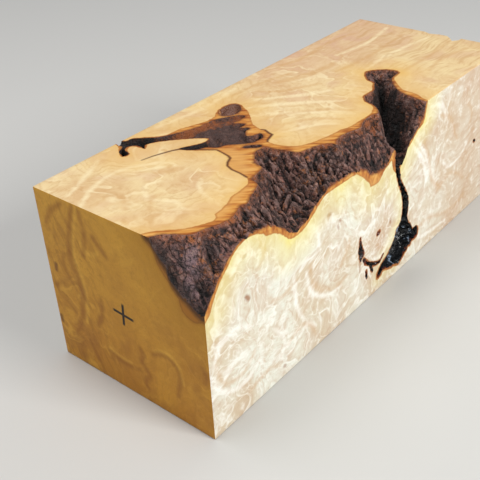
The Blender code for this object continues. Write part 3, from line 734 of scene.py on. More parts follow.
VEINS = {
    "top": [
        [(-136, 18, 0.4), (-124, 25, 0.6), (-108, 29, 0.5), (-92, 24, 0.4), (-78, 25, 0.3)],
        [(-112, -19, 0.4), (-109, -12, 0.7), (-114, -2, 0.4), (-108, 8, 0.4), (-100, 6, 0.3)],
        [(-100, -30, 0.3), (-96, -15, 0.5), (-88, -8, 0.3)],
        [(-133, 30, 0.4), (-118, 36, 0.6), (-102, 44, 0.4)],
        [(-28, 22, 0.5), (-14, 6, 1.4), (2, -14, 0.6)], [(-18, 24, 0.6), (0, 8, 1.6), (14, -8, 0.6)],
        [(-6, 26, 0.4), (14, 8, 1.4), (26, 0, 0.5)], [(-34, -8, 0.4), (-14, -18, 0.9), (-6, -28, 0.4)],
        [(52, -2, 0.4), (86, 1, 0.8), (128, -4, 0.5)], [(72, 26, 0.4), (100, 22, 0.8), (130, 26, 0.4)],
        [(-60, 46, 0.4), (-30, 42, 0.8), (0, 45, 0.4)],
        [(-70.5, 39.8, 0.8), (-66, 38.6, 1.2), (-62, 36.4, 0.6)],
        [(-66.5, 12.4, 0.5), (-62.5, 10.2, 0.5)],
    ],
    "front": [
        [(-76, 54, 0.4), (-75, 42, 1.1), (-73, 33, 0.8), (-68, 24, 0.4)],
        [(-66, 50, 0.4), (-63, 38, 0.7), (-56, 31, 0.6), (-46, 26, 0.5), (-36, 25, 0.3)],
        [(-133, 40, 0.5), (-129, 48, 0.8), (-118, 51, 0.6), (-108, 46, 0.5)],
        [(-134, 30, 0.5), (-124, 20, 0.8), (-112, 18, 0.5), (-102, 24, 0.3)],
        [(-118, 80, 0.8), (-112, 86, 1.6), (-104, 82, 0.6)],
        [(-66, 76, 0.4), (-58, 70, 0.9), (-56, 60, 0.5)],
        [(-92, 34, 0.3), (-84, 24, 0.6), (-86, 12, 0.4)],
        [(-72, 16, 0.4), (-66, 20, 0.7), (-58, 14, 0.5)],
        [(26, 80, 0.4), (36, 70, 0.9), (45, 58, 0.9), (49, 46, 0.4)],
        [(34, 78, 0.4), (44, 66, 0.8), (54, 50, 0.8), (60, 40, 0.4)],
        [(46, 92, 0.4), (60, 88, 0.8), (66, 78, 0.5)],
        [(68, 50, 0.3), (76, 44, 0.8), (88, 44, 0.5), (98, 50, 0.3)],
        [(46, 10, 0.3), (60, 8, 0.8), (78, 6, 0.5)], [(-6, 24, 0.3), (3, 22, 0.8), (10, 27, 0.5)],
    ],
    "end": [
        [(22, 96, 0.3), (25.5, 84, 0.7), (29, 70, 0.8), (26, 56, 0.6), (25.5, 42, 0.6), (28, 30, 0.4)],
        [(22.5, 77, 0.5), (20, 73.5, 0.9), (16, 73.5, 0.8), (12, 76, 0.5)],
        [(14, 20.5, 0.3), (6, 18.6, 0.5), (0, 18.8, 0.3)],
        [(-17, 34.5, 0.4), (-24, 37.5, 0.6), (-31, 34, 0.5), (-33.5, 24, 0.4)],
    ],
}

# %% A tool for the nearest of several lines, and smooth curves through the points above
SEEN = ("top", "front", "end")
for drawn_lines in (CURVES, VEINS):
    for face in SEEN:
        drawn_lines[face] = [smooth_outline(line, closed=False) for line in drawn_lines[face]]


def nearest_line(u, v, lines):
    """How far each (u, v) lies outside the nearest of several lines with a half width."""
    return np.minimum.reduce([-groove(u, v, line) for line in lines])


# %% What each sawn face can measure
FACES = {
    "top": (2, 1), "front": (1, -1), "end": (0, -1), "back": (1, 1), "far_end": (0, 1),
    "bottom": (2, -1),
}
FACE_AXES = {
    "top": (0, 1), "front": (0, 2), "end": (1, 2), "back": (0, 2), "far_end": (1, 2),
    "bottom": (0, 1),
}
FAR = 40.0


def bark_distance(face, points):
    """How far each point of a sawn face lies from the nearest bark or crack, in mm."""
    x, y, z = points.T
    if face == "top":
        lines = (BARK_LINE, POCKET_LINE, LOBE_LINE, GRAIN_POCKET_LINE, FAR_NOTCH_LINE,
                 FAR_HOLLOW_LINE)
        return -np.maximum.reduce([inside(x, y, line) for line in lines])
    if face == "front":
        above = z - np.interp(x, *np.array(BARK_LINE_FRONT, dtype=float).T)
        knot = inside(x, z, CRACK_LINE)
        return np.minimum.reduce([-above, -knot, nearest_line(x, z, FISSURES)])
    if face == "end":
        return np.interp(y, *np.array(BARK_LINE_END, dtype=float).T) - z
    return np.full(len(points), FAR)


def on_face(face, normals):
    """Which normals point straight out of a sawn face."""
    axis, side = FACES[face]
    return normals[:, axis] * side > 0.99


# %% Dividing the faces where the colours need it


def near_bark(reach, faces):
    """A test for faces of the block within reach, in mm, of bark, a crack or a knot."""
    def wanted(centres, normals):
        chosen = np.zeros(len(centres), dtype=bool)
        for face in faces:
            here = on_face(face, normals)
            chosen[here] = np.abs(bark_distance(face, centres[here])) < reach
        return chosen
    return wanted


def near_lines(reach, lines_of):
    """A test for faces of the block within reach, in mm, of the lines on the faces that are seen."""
    def wanted(centres, normals):
        chosen = np.zeros(len(centres), dtype=bool)
        for face, lines in lines_of.items():
            here = on_face(face, normals)
            u, v = (centres[here, axis] for axis in FACE_AXES[face])
            chosen[here] = nearest_line(u, v, lines) < reach
        return chosen
    return wanted


FIGURE = {face: CURVES[face] + VEINS[face] + FLECKS[face] for face in SEEN}
SHARP = {"top": CRACKS_TOP, "front": FISSURES}
for test in (
    near_bark(FAR * 10, SEEN), near_lines(2.0, FIGURE), near_lines(2.4, {"top": CRACKS_TOP[2:]}),
    near_bark(6.0, SEEN), near_lines(1.6, SHARP), near_lines(0.9, SHARP),
    near_lines(0.35, {"top": CRACKS_TOP}),
):
    divide_faces(block, test)

# %% [markdown]
# ## Carving the bark
# Each relief is a sheet: a fine grid whose corners are moved to the depth of the bark under them.
# Beside the bark the sheet rises out of the block, so that it crosses the sawn face exactly on the
# bark line. The parts of the sheet that stay in the air are deleted, the rest is extruded outwards
# into a solid, and a Boolean takes that solid out of the block, as a carver would.

# %% A tool that turns a relief into a carving solid
SHEET_MARGIN = 2.5
AIR = 60.0


def carver(name, span_u, span_v, cell, relief, place, pull):
    """A closed solid from a grid sheet that a relief has shaped."""
    size_u, size_v = span_u[1] - span_u[0], span_v[1] - span_v[0]
    bpy.ops.object.select_all(action="DESELECT")
    bpy.ops.mesh.primitive_grid_add(
        x_subdivisions=round(size_u / cell), y_subdivisions=round(size_v / cell),
        size=1, location=(sum(span_u) / 2, sum(span_v) / 2, 0),
    )
    sheet = bpy.context.object
    sheet.name = name
    sheet.scale = (size_u, size_v, 1)
    bpy.ops.object.transform_apply(location=True, rotation=True, scale=True)
    grid = np.zeros(len(sheet.data.vertices) * 3, dtype=np.float32)
    sheet.data.vertices.foreach_get("co", grid)
    u, v = grid.reshape(-1, 3)[:, :2].astype(float).T
    depth = relief(u, v)
    sheet.data.vertices.foreach_set("co", (place(u, v, depth) * MM).astype(np.float32).ravel())
    start_editing(sheet)
    bpy.ops.mesh.select_mode(type="FACE")
    shape = bmesh.from_edit_mesh(sheet.data)
    shape.verts.index_update()
    for face in shape.faces:
        face.select_set(all(depth[vert.index] < -SHEET_MARGIN for vert in face.verts))
    bmesh.update_edit_mesh(sheet.data)
    bpy.ops.mesh.delete(type="FACE")
    bpy.ops.mesh.select_all(action="SELECT")
    bpy.ops.mesh.extrude_region_move(TRANSFORM_OT_translate={"value": pull * AIR * MM})
    bpy.ops.mesh.select_all(action="SELECT")
    bpy.ops.mesh.normals_make_consistent(inside=False)
    bpy.ops.object.mode_set(mode="OBJECT")
    print(name, "faces:", len(sheet.data.polygons))
    return sheet


def under_top(x, y, depth):
    """Points under the top face."""
    return np.stack([x, y, TOP - depth], axis=1)


def behind_front(x, z, depth):
    """Points behind the long face."""
    return np.stack([x, depth - HALF_WIDTH, z], axis=1)


# %% The two carving solids
CELL = 0.48
PAST_EDGE = 5.0
CRACK_SPAN_X = (-24, 112)
CRACK_SPAN_Z = (2, 88)
carvers = [
    carver(
        "bark_relief", (-HALF_LENGTH - PAST_EDGE, HALF_LENGTH + PAST_EDGE),
        (-HALF_WIDTH - PAST_EDGE, HALF_WIDTH + PAST_EDGE), CELL, top_relief, under_top,
        Vector((0, 0, 1)),
    ),
    carver(
        "crack_relief", CRACK_SPAN_X, CRACK_SPAN_Z, CELL, front_relief, behind_front,
        Vector((0, -1, 0)),
    ),
]

# %% Carving
for sheet in carvers:
    carving = block.modifiers.new(sheet.name, "BOOLEAN")
    carving.operation = "DIFFERENCE"
    carving.solver = "MANIFOLD"
    carving.object = sheet
    bpy.ops.object.select_all(action="DESELECT")
    block.select_set(True)
    bpy.context.view_layer.objects.active = block
    bpy.ops.object.modifier_apply(modifier=carving.name)
    bpy.data.objects.remove(sheet, do_unlink=True)
    print("faces after carving:", len(block.data.polygons))

# %% Smooth bark with crisp edges
SMOOTH_BELOW = math.radians(38)
bpy.ops.object.shade_smooth_by_angle(angle=SMOOTH_BELOW)
triangles = sum(len(face.vertices) - 2 for face in block.data.polygons)
print("triangles of the block:", triangles)

# %% [markdown]
# ## Measuring for the colours
# A material can read numbers that are stored on the mesh. Each sawn face stores how deep in sound
# wood a point lies, how far it is from bark, from a thin crack and from each drawn line, and where
# its eyes and streaks are; the end grain also stores where its top gets painted light. The carved
# faces store how high they stand, how raw they are, and where they take painted shade, a painted
# lilac sheen and painted glints. Each number is stored for the corners of a face, because two faces
# that share an edge can differ in it.

# %% Which faces are sawn, and what they face
corner_count = len(block.data.loops)
corner_vert = np.zeros(corner_count, dtype=np.int32)
block.data.loops.foreach_get("vertex_index", corner_vert)
place = np.zeros(len(block.data.vertices) * 3, dtype=np.float32)
block.data.vertices.foreach_get("co", place)
place = place.reshape(-1, 3).astype(float) / MM
face_count = len(block.data.polygons)
face_size = np.zeros(face_count, dtype=np.int32)
block.data.polygons.foreach_get("loop_total", face_size)
normal = np.zeros(face_count * 3, dtype=np.float32)
block.data.polygons.foreach_get("normal", normal)
normal = normal.reshape(-1, 3)
corner_face = np.repeat(np.arange(face_count), face_size)

LIMITS = {
    "top": TOP, "front": -HALF_WIDTH, "end": -HALF_LENGTH, "back": HALF_WIDTH,
    "far_end": HALF_LENGTH, "bottom": 0.0,
}
side = np.full(face_count, -1)
for index, (face, (axis, sign)) in enumerate(FACES.items()):
    off_plane = np.zeros(face_count)
    np.maximum.at(off_plane, corner_face, np.abs(place[corner_vert, axis] - LIMITS[face]))
    side[(off_plane < ARRIS + 0.05) & (normal[:, axis] * sign > 0.6)] = index
print("carved faces:", int((side < 0).sum()), "sawn faces:", int((side >= 0).sum()))

# %% Eyes in the wood, as rings round a centre: (u, v, radius, number of rings)
EYES = {
    "front": [(-120, 36, 15, 3.2), (-45, 50, 17, 3.0), (0, 35, 17, 2.6), (-109, 62, 4, 1.4),
              (-38, 65, 4, 1.4), (-60, 15, 9, 2.2), (70, 40, 14, 2.6), (88, 70, 10, 2.2),
              (52, 62, 12, 2.4), (100, 22, 12, 2.2), (-92, 20, 8, 1.8), (120, 60, 9, 2)],
    "top": [(-128, 8, 9, 2.2), (-90, 10, 10, 1.6), (-112, -5, 12, 1.6), (75, -45, 6, 2),
            (80, 5, 6, 1.6), (10, 10, 16, 1.6), (110, -36, 9, 1.6)],
    "end": [(-26, 25, 10, 2.4), (20, 74, 9, 2.6), (40, 58, 7, 2.6), (-10, 14, 6, 2), (38, 24, 8, 2.4),
            (40, 84, 6, 2)],
    "back": [(-60, 40, 15, 3), (20, 60, 14, 3), (90, 35, 17, 3), (-110, 70, 10, 2.4)],
    "far_end": [(-20, 60, 13, 2.6), (22, 30, 15, 2.6)],
    "bottom": [(-80, -10, 15, 2.6), (0, 20, 14, 2.4), (85, -18, 16, 2.6)],
}


def rings(face, u, v):
    """How many rings lie between each point and open wood, summed over the eyes of a face."""
    total = np.zeros(u.shape)
    for eye_u, eye_v, radius, count in EYES[face]:
        gap = np.hypot(u - eye_u, v - eye_v) / radius
        total += count * np.exp(-gap * gap)
    return total


# %% The numbers that the mesh stores
WOOD_LINES = {"top": WOOD_LINE_TOP, "front": WOOD_LINE_FRONT, "end": WOOD_LINE_END}
FAR_NUMBERS = ("wood_mm", "bark_mm", "halo_mm", "crack_mm", "curve_mm", "vein_mm", "fleck_mm")
ZERO_NUMBERS = (
    "rings", "end_grain", "long_face", "rosy", "straight", "height_mm", "void", "pitch", "raw",
    "ashen", "glossy", "feather", "ochre", "rim", "smooth", "streaky", "upper", "shine",
)
numbers = {name: np.full(corner_count, FAR, dtype=np.float32) for name in FAR_NUMBERS}
numbers.update({name: np.zeros(corner_count, dtype=np.float32) for name in ZERO_NUMBERS})


def swell(value, middle, reach):
    """1 at the middle, fading smoothly to both sides of it."""
    return np.exp(-(((value - middle) / reach) ** 2))


# %% The rims, the yellow band and the rosy disc of the long face
KNOT_RIM_LOW = 1.3
KNOT_RIM_HIGH = 0.4
KNOT_RIM_FROM = 12.0
KNOT_RIM_TO = 24.0
FISSURE_RIM = 0.4
CRACK_MIDDLE = np.array([(5, 20), (30, 26), (45, 26), (60, 19), (75, 15), (84, 17)], dtype=float)
YELLOW_LEFT_OF_CRACK = 8.0
YELLOW_RIGHT_OF_CRACK = 16.0
DISC_X = 1.0
DISC_Z = 34.0
DISC_REACH = 13.8
DISC_SHARE = 1.2


def front_numbers(x, z, wood_mm):
    """What the long face has beside its bark: a rim at the knot, the yellow band and a rosy disc."""
    knot_rim = KNOT_RIM_LOW + (KNOT_RIM_HIGH - KNOT_RIM_LOW) * ease(z, KNOT_RIM_FROM, KNOT_RIM_TO)
    past_knot = -inside(x, z, CRACK_LINE) - knot_rim
    past_fissure = nearest_line(x, z, FISSURES) - FISSURE_RIM
    past_middle = ease(x - np.interp(z, *CRACK_MIDDLE.T), 0, 4)
    start = YELLOW_LEFT_OF_CRACK + (YELLOW_RIGHT_OF_CRACK - YELLOW_LEFT_OF_CRACK) * past_middle
    disc = swell(x, DISC_X, DISC_REACH) * swell(z, DISC_Z, DISC_REACH)
    # Towards the right end of the long face the rosy number rises: partly the wood's rosy tone, partly
    # painted shade
    return {
        "halo_mm": np.minimum(wood_mm, past_knot + start),
        "wood_mm": np.minimum.reduce([wood_mm, past_knot, past_fissure]),
        "rosy": DISC_SHARE * disc + ease(x, 20, 110),
    }


# %% Storing the numbers of the sawn faces
LEAST_STREAKY = 0.2
for index, face in enumerate(FACES):
    corners = np.flatnonzero(side[corner_face] == index)
    verts, back_to_corner = np.unique(corner_vert[corners], return_inverse=True)
    points = place[verts]
    u, v = (points[:, axis] for axis in FACE_AXES[face])
    bark_mm = bark_distance(face, points)
    stored = {
        "rings": rings(face, u, v),
        "bark_mm": bark_mm,
        "wood_mm": bark_mm,
        "rosy": ease(points[:, 0], -10, 60) * ease(points[:, 1], -10, 35),
        "straight": ease(points[:, 0], 40, 100),
        "end_grain": np.full(len(points), float(face in ("end", "far_end"))),
        "long_face": np.full(len(points), float(face in ("front", "back"))),
    }
    if face in WOOD_LINES:
        stored["wood_mm"] = -inside(u, v, WOOD_LINES[face])
        stored["halo_mm"] = stored["wood_mm"]
        for name, lines in (("curve_mm", CURVES), ("vein_mm", VEINS), ("fleck_mm", FLECKS)):
            stored[name] = nearest_line(u, v, lines[face])
    if face == "top":
        stored["crack_mm"] = nearest_line(u, v, CRACKS_TOP)
    if face == "front":
        stored.update(front_numbers(u, v, stored["wood_mm"]))
    if face == "end":
        stored["streaky"] = LEAST_STREAKY + (1 - LEAST_STREAKY) * ease(u, 2, 26)
        # Painted light: the end grain is painted paler towards its top, as if lit from above
        stored["upper"] = ease(v, 10, 95)
    for name, values in stored.items():
        numbers[name][corners] = np.clip(values, -FAR, FAR)[back_to_corner]

# %% How far each point stands above the surface round it, which tells ridges from pits
SMOOTH_ROUNDS = 14
vert_count = len(block.data.vertices)
ends = np.zeros(len(block.data.edges) * 2, dtype=np.int32)
block.data.edges.foreach_get("vertices", ends)
first, second = ends.reshape(-1, 2).T
neighbours = np.bincount(ends, minlength=vert_count)[:, None]
smoothed = place.copy()
for _ in range(SMOOTH_ROUNDS):
    total = np.stack([
        np.bincount(first, smoothed[second, axis], vert_count)
        + np.bincount(second, smoothed[first, axis], vert_count) for axis in range(3)
    ], axis=1)
    smoothed = total / neighbours
outward = np.zeros(vert_count * 3, dtype=np.float32)
block.data.vertices.foreach_get("normal", outward)
height = ((place - smoothed) * outward.reshape(-1, 3)).sum(axis=1)
print("heights from", round(height.min(), 2), "to", round(height.max(), 2), "mm")

# %% How far each carved point lies inside the lines round it
carved = np.flatnonzero(side[corner_face] < 0)
verts, back_to_corner = np.unique(corner_vert[carved], return_inverse=True)
x, y, z = place[verts].T
below_top = TOP - z
behind = y + HALF_WIDTH
slope_edge = inside(x, y, BARK_LINE)
pocket_edge = inside(x, y, POCKET_LINE)
lobe_edge = inside(x, y, LOBE_LINE)
knot_edge = inside(x, z, CRACK_LINE)
front_edge = np.hypot(1.5 * (z - np.interp(x, *np.array(BARK_LINE_FRONT).T)), behind)
edge = np.minimum(np.abs(slope_edge), front_edge)
edge = np.where(pocket_edge > 0, pocket_edge * 1.6, edge)
in_pocket = ease(pocket_edge, -0.8, 0.2)
in_lobe = ease(lobe_edge, -1.2, -0.2)
in_crack = ease(knot_edge, -0.9, 0.0) * (1 - ease(behind, -1, 14)) * (z < 80)
in_fissure = ease(-nearest_line(x, z, FISSURES), -0.9, -0.1) * (behind < 4)
print("carved points:", len(verts))

# %% Where the carved faces have no light left
BLACK_HOLLOW = [
    (50, -14, 2.5), (44, -22, 6), (38, -29, 7), (31, -36, 5.5), (24, -43, 3), (17.5, -50, 2),
]
CRACK_END = [(-72, 19.4, 2), (-66, 16, 2.4), (-60, 13.6, 2)]
wobble = 5 * lumps(x, y, 8, 8) + 3 * lumps(x, y, 3, 3)
hollow = np.maximum(ease(groove(x + wobble, y, BLACK_HOLLOW), -1.5, 1.5), ease(below_top, 22, 27))
slot = ease(pocket_edge, 0, 1) * ease(below_top, 3, 7) + ease(pocket_edge, -1, 0) * ease(y, 36, 40)
crack_end = 0.9 * ease(groove(x, y, CRACK_END), -1.2, 0.6) * (pocket_edge > -0.5)
far_part = 0.62 * ease(-x, 60, 70) * ease(pocket_edge, -0.5, 0.5)
notch = 0.8 * ease(x, 120, 128)
end_shade = 0.8 * (1 - ease(x + HALF_LENGTH, 1, 5.5)) * (1 - in_pocket)
dark_spot = 0.6 * swell(x, -121, 3.74) * swell(y, -42.4, 3.74)

# %% Where the pocket is red and crumbly, the corner has a painted lilac sheen and the knot a painted highlight
REDDISH_BAND = [(-64, 33, 1.2), (-52, 29, 2.2), (-40, 24.5, 3.2), (-28, 18.4, 2.6)]
CRUMBLY_BAND = [
    (-64, 9.5, 2.4), (-56, 6.5, 2.6), (-50, 1.5, 2.6), (-44, -2.4, 2.6), (-38, -3, 2),
]
reddish = in_pocket * ease(groove(x, y, REDDISH_BAND), -1, 1.2)
crumbly = in_pocket * ease(groove(x, y, CRUMBLY_BAND), -0.8, 0.8)
smooth = np.maximum(0.8 * in_pocket * (1 - crumbly), in_lobe)
# Painted sheen: greyish lilac on the smooth plates near the bark corner
lilac = swell(x, -128.5, 4.5) * swell(y, -37.5, 4)
plate = swell(x, -132.5, 2.5) * swell(y, -44, 4)
torn_patch = 0.8 * swell(x, 8, 5) * ease(y, -46, -38)
ochre_left = swell(x, -103, 9) + 1.3 * swell(x, -125, 2.5)
ochre_valley = swell(x, -47, 10) * ease(-y, 28, 38)
# A painted highlight on the knot, and no painted glints in the crack and the fissures
highlight = swell(x, 19, 3.74) * swell(z, 13.4, 3.74) + 0.6 * swell(x, 30, 2.24) * swell(z, 24, 2.24)
no_painted_glint = np.maximum(ease(z, 28, 38), in_fissure)
knot_rust = np.exp(-np.maximum(knot_edge, 0) / 0.45)
knot_rust *= np.where(z < 40, 0.2 + 0.6 * ease(16 - z, -6, 4), 0.1)

# %% Storing the numbers of the carved faces
stored = {
    # This height paints shade into the bark's pits and a highlight onto its ridges
    "height_mm": height[verts] * (1 - smooth),
    "smooth": smooth,
    # Painted shade: the hollow, the slot, the crack's end, the deep part of the pocket, the notch and
    # the bark by the end face are painted nearly black; one dark spot and the crumbly band are darkened
    # too
    "void": np.maximum.reduce(
        [hollow, slot, crack_end, far_part, notch, end_shade, dark_spot, 0.35 * crumbly]
    ),
    # Painted glints of the knot, raised at its painted highlight
    "shine": 0.26 * highlight - 0.2 * no_painted_glint - 0.035,
    "pitch": np.maximum(in_crack, in_fissure),
    "raw": np.exp(-edge / 1.6) + torn_patch + 1.1 * reddish - 0.4 * np.maximum(in_pocket, in_lobe),
    # Painted sheen of greyish lilac on the plates near the bark corner
    "ashen": lilac + plate + 0.3 * swell(x, -118, 16),
    "glossy": in_lobe,
    "ochre": ochre_left + ochre_valley,
    "rim": np.maximum(knot_rust, 0.6 * in_fissure),
    "feather": in_lobe * (1 - ease(lobe_edge, 0, 2.4)) * ease(-x, 23, 29),
}
for name, values in stored.items():
    numbers[name][carved] = np.clip(values, -5, 5)[back_to_corner]
for name, values in numbers.items():
    layer = block.data.attributes.new(name, "FLOAT", "CORNER")
    layer.data.foreach_set("value", values)
print("numbers stored:", sorted(numbers))

# %% [markdown]
# ## Tools for the materials
# One small function adds a node, with its settings and its links. Wood and bark are built up in thin
# layers, each laid over the last where a pattern or a stored number asks for it, so a second one lays
# a colour over another. The size of a pattern is in metres: a scale of 1 / 0.026 makes blotches of
# about 26 mm.

# %% Nodes and layers


def grey(value):
    """A grey for the stop of a ramp that carries a number."""
    return (value, value, value, 1)


def add(tree, kind, inputs, stops=(), **settings):
    """Adds a node with its settings, its input values or links, and the stops of its ramp."""
    node = tree.nodes.new("ShaderNode" + kind)
    for name, value in settings.items():
        setattr(node, name, value)
    for key, value in inputs.items():
        if isinstance(value, bpy.types.NodeSocket):
            tree.links.new(value, node.inputs[key])
        else:
            node.inputs[key].default_value = value
    for index, (position, value) in enumerate(stops):
        elements = node.color_ramp.elements
        stop = elements[index] if index < 2 else elements.new(position)
        stop.position = position
        stop.color = value
    return node.outputs


def lay_over(tree, base, over, pattern, low=0.0, high=1.0, most=1.0):
    """One colour laid over another: not at all where a pattern is low, and by most where it is high."""
    limits = {"Value": pattern, "From Min": low, "From Max": high, "To Max": most}
    share = add(tree, "MapRange", limits)["Result"]
    return add(tree, "Mix", {0: share, 6: base, 7: over}, data_type="RGBA")[2]


def new_material(name, stored_names):
    """A material: itself, its nodes, its shader, the place on the object and its stored numbers."""
    material = bpy.data.materials.new(name)
    material.use_nodes = True
    tree = material.node_tree
    where = add(tree, "TexCoord", {})["Object"]
    number = {
        stored_name: add(tree, "Attribute", {}, attribute_name=stored_name)["Fac"]
        for stored_name in stored_names
    }
    return material, tree, tree.nodes["Principled BSDF"], where, number


# %% [markdown]
# ## Sawn maple burl
# Burl wood has no straight grain. Its fibres swirl round hundreds of small buds, so a sawn face
# shows soft clouds, tan curves and crinkled pale veins, with rings round the larger buds. Each
# pattern is noise that is read at a place which itself wanders by some millimetres, because that
# is what makes straight noise swirl. The long face is palest, the top is golden, and the end grain
# is browner. Beside the bark the wood is yellow, and the inner bark is orange-brown. Sawn wood that
# is not polished is nearly matt, with a faint sheen.

# %% Wood: a place that swirls, and the stored numbers
sawn_burl, tree, wood_shader, where, number = new_material("sawn maple burl", (
    "wood_mm", "bark_mm", "halo_mm", "crack_mm", "curve_mm", "vein_mm", "fleck_mm", "rings",
    "end_grain", "long_face", "rosy", "straight", "streaky", "upper",
))
drift = add(tree, "TexNoise", {"Vector": where, "Scale": 1 / 0.045, "Detail": 2.0})["Color"]
swirled = add(
    tree, "VectorMath", {0: drift, 1: (0.03, 0.03, 0.03), 2: where}, operation="MULTIPLY_ADD"
)[0]
crinkle = add(tree, "TexNoise", {"Vector": swirled, "Scale": 1 / 0.013, "Detail": 2.0})["Color"]
crinkled = add(
    tree, "VectorMath", {0: crinkle, 1: (0.0065, 0.0065, 0.0065), 2: swirled},
    operation="MULTIPLY_ADD",
)[0]


def by_face(top, front, end):
    """A colour that differs between the top, the long faces and the end grain."""
    sides = lay_over(tree, colour(top), colour(front), number["long_face"])
    return lay_over(tree, sides, colour(end), number["end_grain"])


# %% Wood: clouds
cloud = add(tree, "TexNoise", {"Vector": swirled, "Scale": 1 / 0.026, "Detail": 3.0})["Fac"]
pale = by_face("EBD29F", "E8E7D9", "D2942A")
tan = by_face("DBB786", "D6C5AA", "BE7F22")
clouded = lay_over(tree, pale, tan, cloud, 0.36, 0.64)
rosy_cloud = add(tree, "TexNoise", {"Vector": swirled, "Scale": 1 / 0.016, "Detail": 2.0})["Fac"]
rosy_patch = add(
    tree, "MapRange", {"Value": rosy_cloud, "From Min": 0.5, "From Max": 0.66, "To Max": 0.45}
)["Result"]
# The rosy number also darkens the long face towards its right end: partly rosy tone, partly painted
# shade
rosy_and_shade_share = add(
    tree, "Math", {0: number["rosy"], 1: 0.6, 2: rosy_patch}, operation="MULTIPLY_ADD"
)[0]
rosed_and_shaded = lay_over(tree, clouded, by_face("D8B08E", "CDB094", "AC6F20"), rosy_and_shade_share)

# %% Wood: where the figure is lively
# The figure is plainer towards the far end of the block, and on the left of the end grain.
patches = add(tree, "TexNoise", {"Vector": where, "Scale": 1 / 0.024, "Detail": 1.0})["Fac"]
end_calm = add(
    tree, "Math", {0: number["streaky"], 1: -0.6, 2: number["end_grain"]}, operation="MULTIPLY_ADD"
)[0]
plain = add(tree, "Math", {0: number["straight"], 1: end_calm}, operation="MAXIMUM")[0]
lively = add(tree, "Math", {0: plain, 1: -0.8, 2: 1.0}, operation="MULTIPLY_ADD")[0]


def figured(base, over, pattern, low, high, most):
    """A pattern laid over the wood where its figure is lively, in patches that run from low to high."""
    alive = add(tree, "Math", {0: pattern, 1: lively}, operation="MULTIPLY")[0]
    patch_most = add(tree, "Math", {0: alive, 1: most}, operation="MULTIPLY")[0]
    return lay_over(tree, base, over, patches, low, high, patch_most)


# %% Wood: tan contour lines with rings at the eyes
figure = add(
    tree, "TexNoise", {"Vector": crinkled, "Scale": 1 / 0.028, "Detail": 2.0, "Roughness": 0.4}
)["Fac"]
contour = add(tree, "Math", {0: figure, 1: 11.0, 2: number["rings"]}, operation="MULTIPLY_ADD")[0]
phase = add(tree, "Math", {0: contour}, operation="FRACT")[0]
line = add(
    tree, "ValToRGB", {"Fac": phase},
    stops=[(0, grey(0.9)), (0.16, grey(0.25)), (0.5, grey(0)), (0.86, grey(0)), (1, grey(0.9))],
)[0]
line_colour = by_face("C79A64", "C4A07C", "905810")
lined = figured(rosed_and_shaded, line_colour, line, 0.42, 0.66, 0.55)

# %% Wood: pale veins with a tan side, finer pale threads, and painted light on the top of the end grain
vein_noise = add(
    tree, "TexNoise", {"Vector": crinkled, "Scale": 1 / 0.017, "Detail": 2.0, "Roughness": 0.5}
)["Fac"]
beside = add(
    tree, "ValToRGB", {"Fac": vein_noise},
    stops=[(0.52, grey(0)), (0.54, grey(0.3)), (0.6, grey(0))],
)[0]
vein = add(
    tree, "ValToRGB", {"Fac": vein_noise},
    stops=[(0.46, grey(0)), (0.494, grey(0.8)), (0.506, grey(0.8)), (0.535, grey(0))],
)[0]
bright = by_face("F6E4B8", "FCFAF2", "EBB342")
shaded_side = figured(lined, line_colour, beside, 0.62, 0.4, 0.9)
veined = figured(shaded_side, bright, vein, 0.62, 0.4, 0.75)
thread_noise = add(
    tree, "TexNoise", {"Vector": crinkled, "Scale": 1 / 0.0085, "Detail": 1.5, "Roughness": 0.5}
)["Fac"]
thread = add(
    tree, "ValToRGB", {"Fac": thread_noise},
    stops=[(0.47, grey(0)), (0.496, grey(0.9)), (0.504, grey(0.9)), (0.53, grey(0))],
)[0]
thread_most = add(
    tree, "Math", {0: number["long_face"], 1: 0.4, 2: 0.08}, operation="MULTIPLY_ADD"
)[0]
lively_thread = add(tree, "Math", {0: thread, 1: lively}, operation="MULTIPLY")[0]
threaded = lay_over(tree, veined, bright, lively_thread, most=thread_most)
# Painted light: the upper part of the end grain takes the pale colour, as if lit from above
end_top_lit = lay_over(tree, threaded, bright, number["upper"], most=0.5)

# %% Wood: the veins, curves and flecks that are drawn
rough_edge = add(tree, "TexNoise", {"Vector": where, "Scale": 1 / 0.004, "Detail": 3.0})["Fac"]


def drawn(base, over, name, spread, most):
    """Drawn lines laid over the wood. They fade over some mm and have an uneven edge."""
    uneven = add(
        tree, "Math", {0: rough_edge, 1: 2.4, 2: number[name]}, operation="MULTIPLY_ADD"
    )[0]
    return lay_over(tree, base, over, uneven, spread + 1.2, 0.7, most)


drawn_vein = drawn(end_top_lit, bright, "vein_mm", 1.4, 0.7)
drawn_curve = drawn(drawn_vein, by_face("CFA067", "CDA87E", "945410"), "curve_mm", 1.7, 0.52)
fleck_colour = by_face("8A5236", "98603A", "5A2A10")
flecked_wood = lay_over(tree, drawn_curve, fleck_colour, number["fleck_mm"], 1.0, -0.4, 0.8)

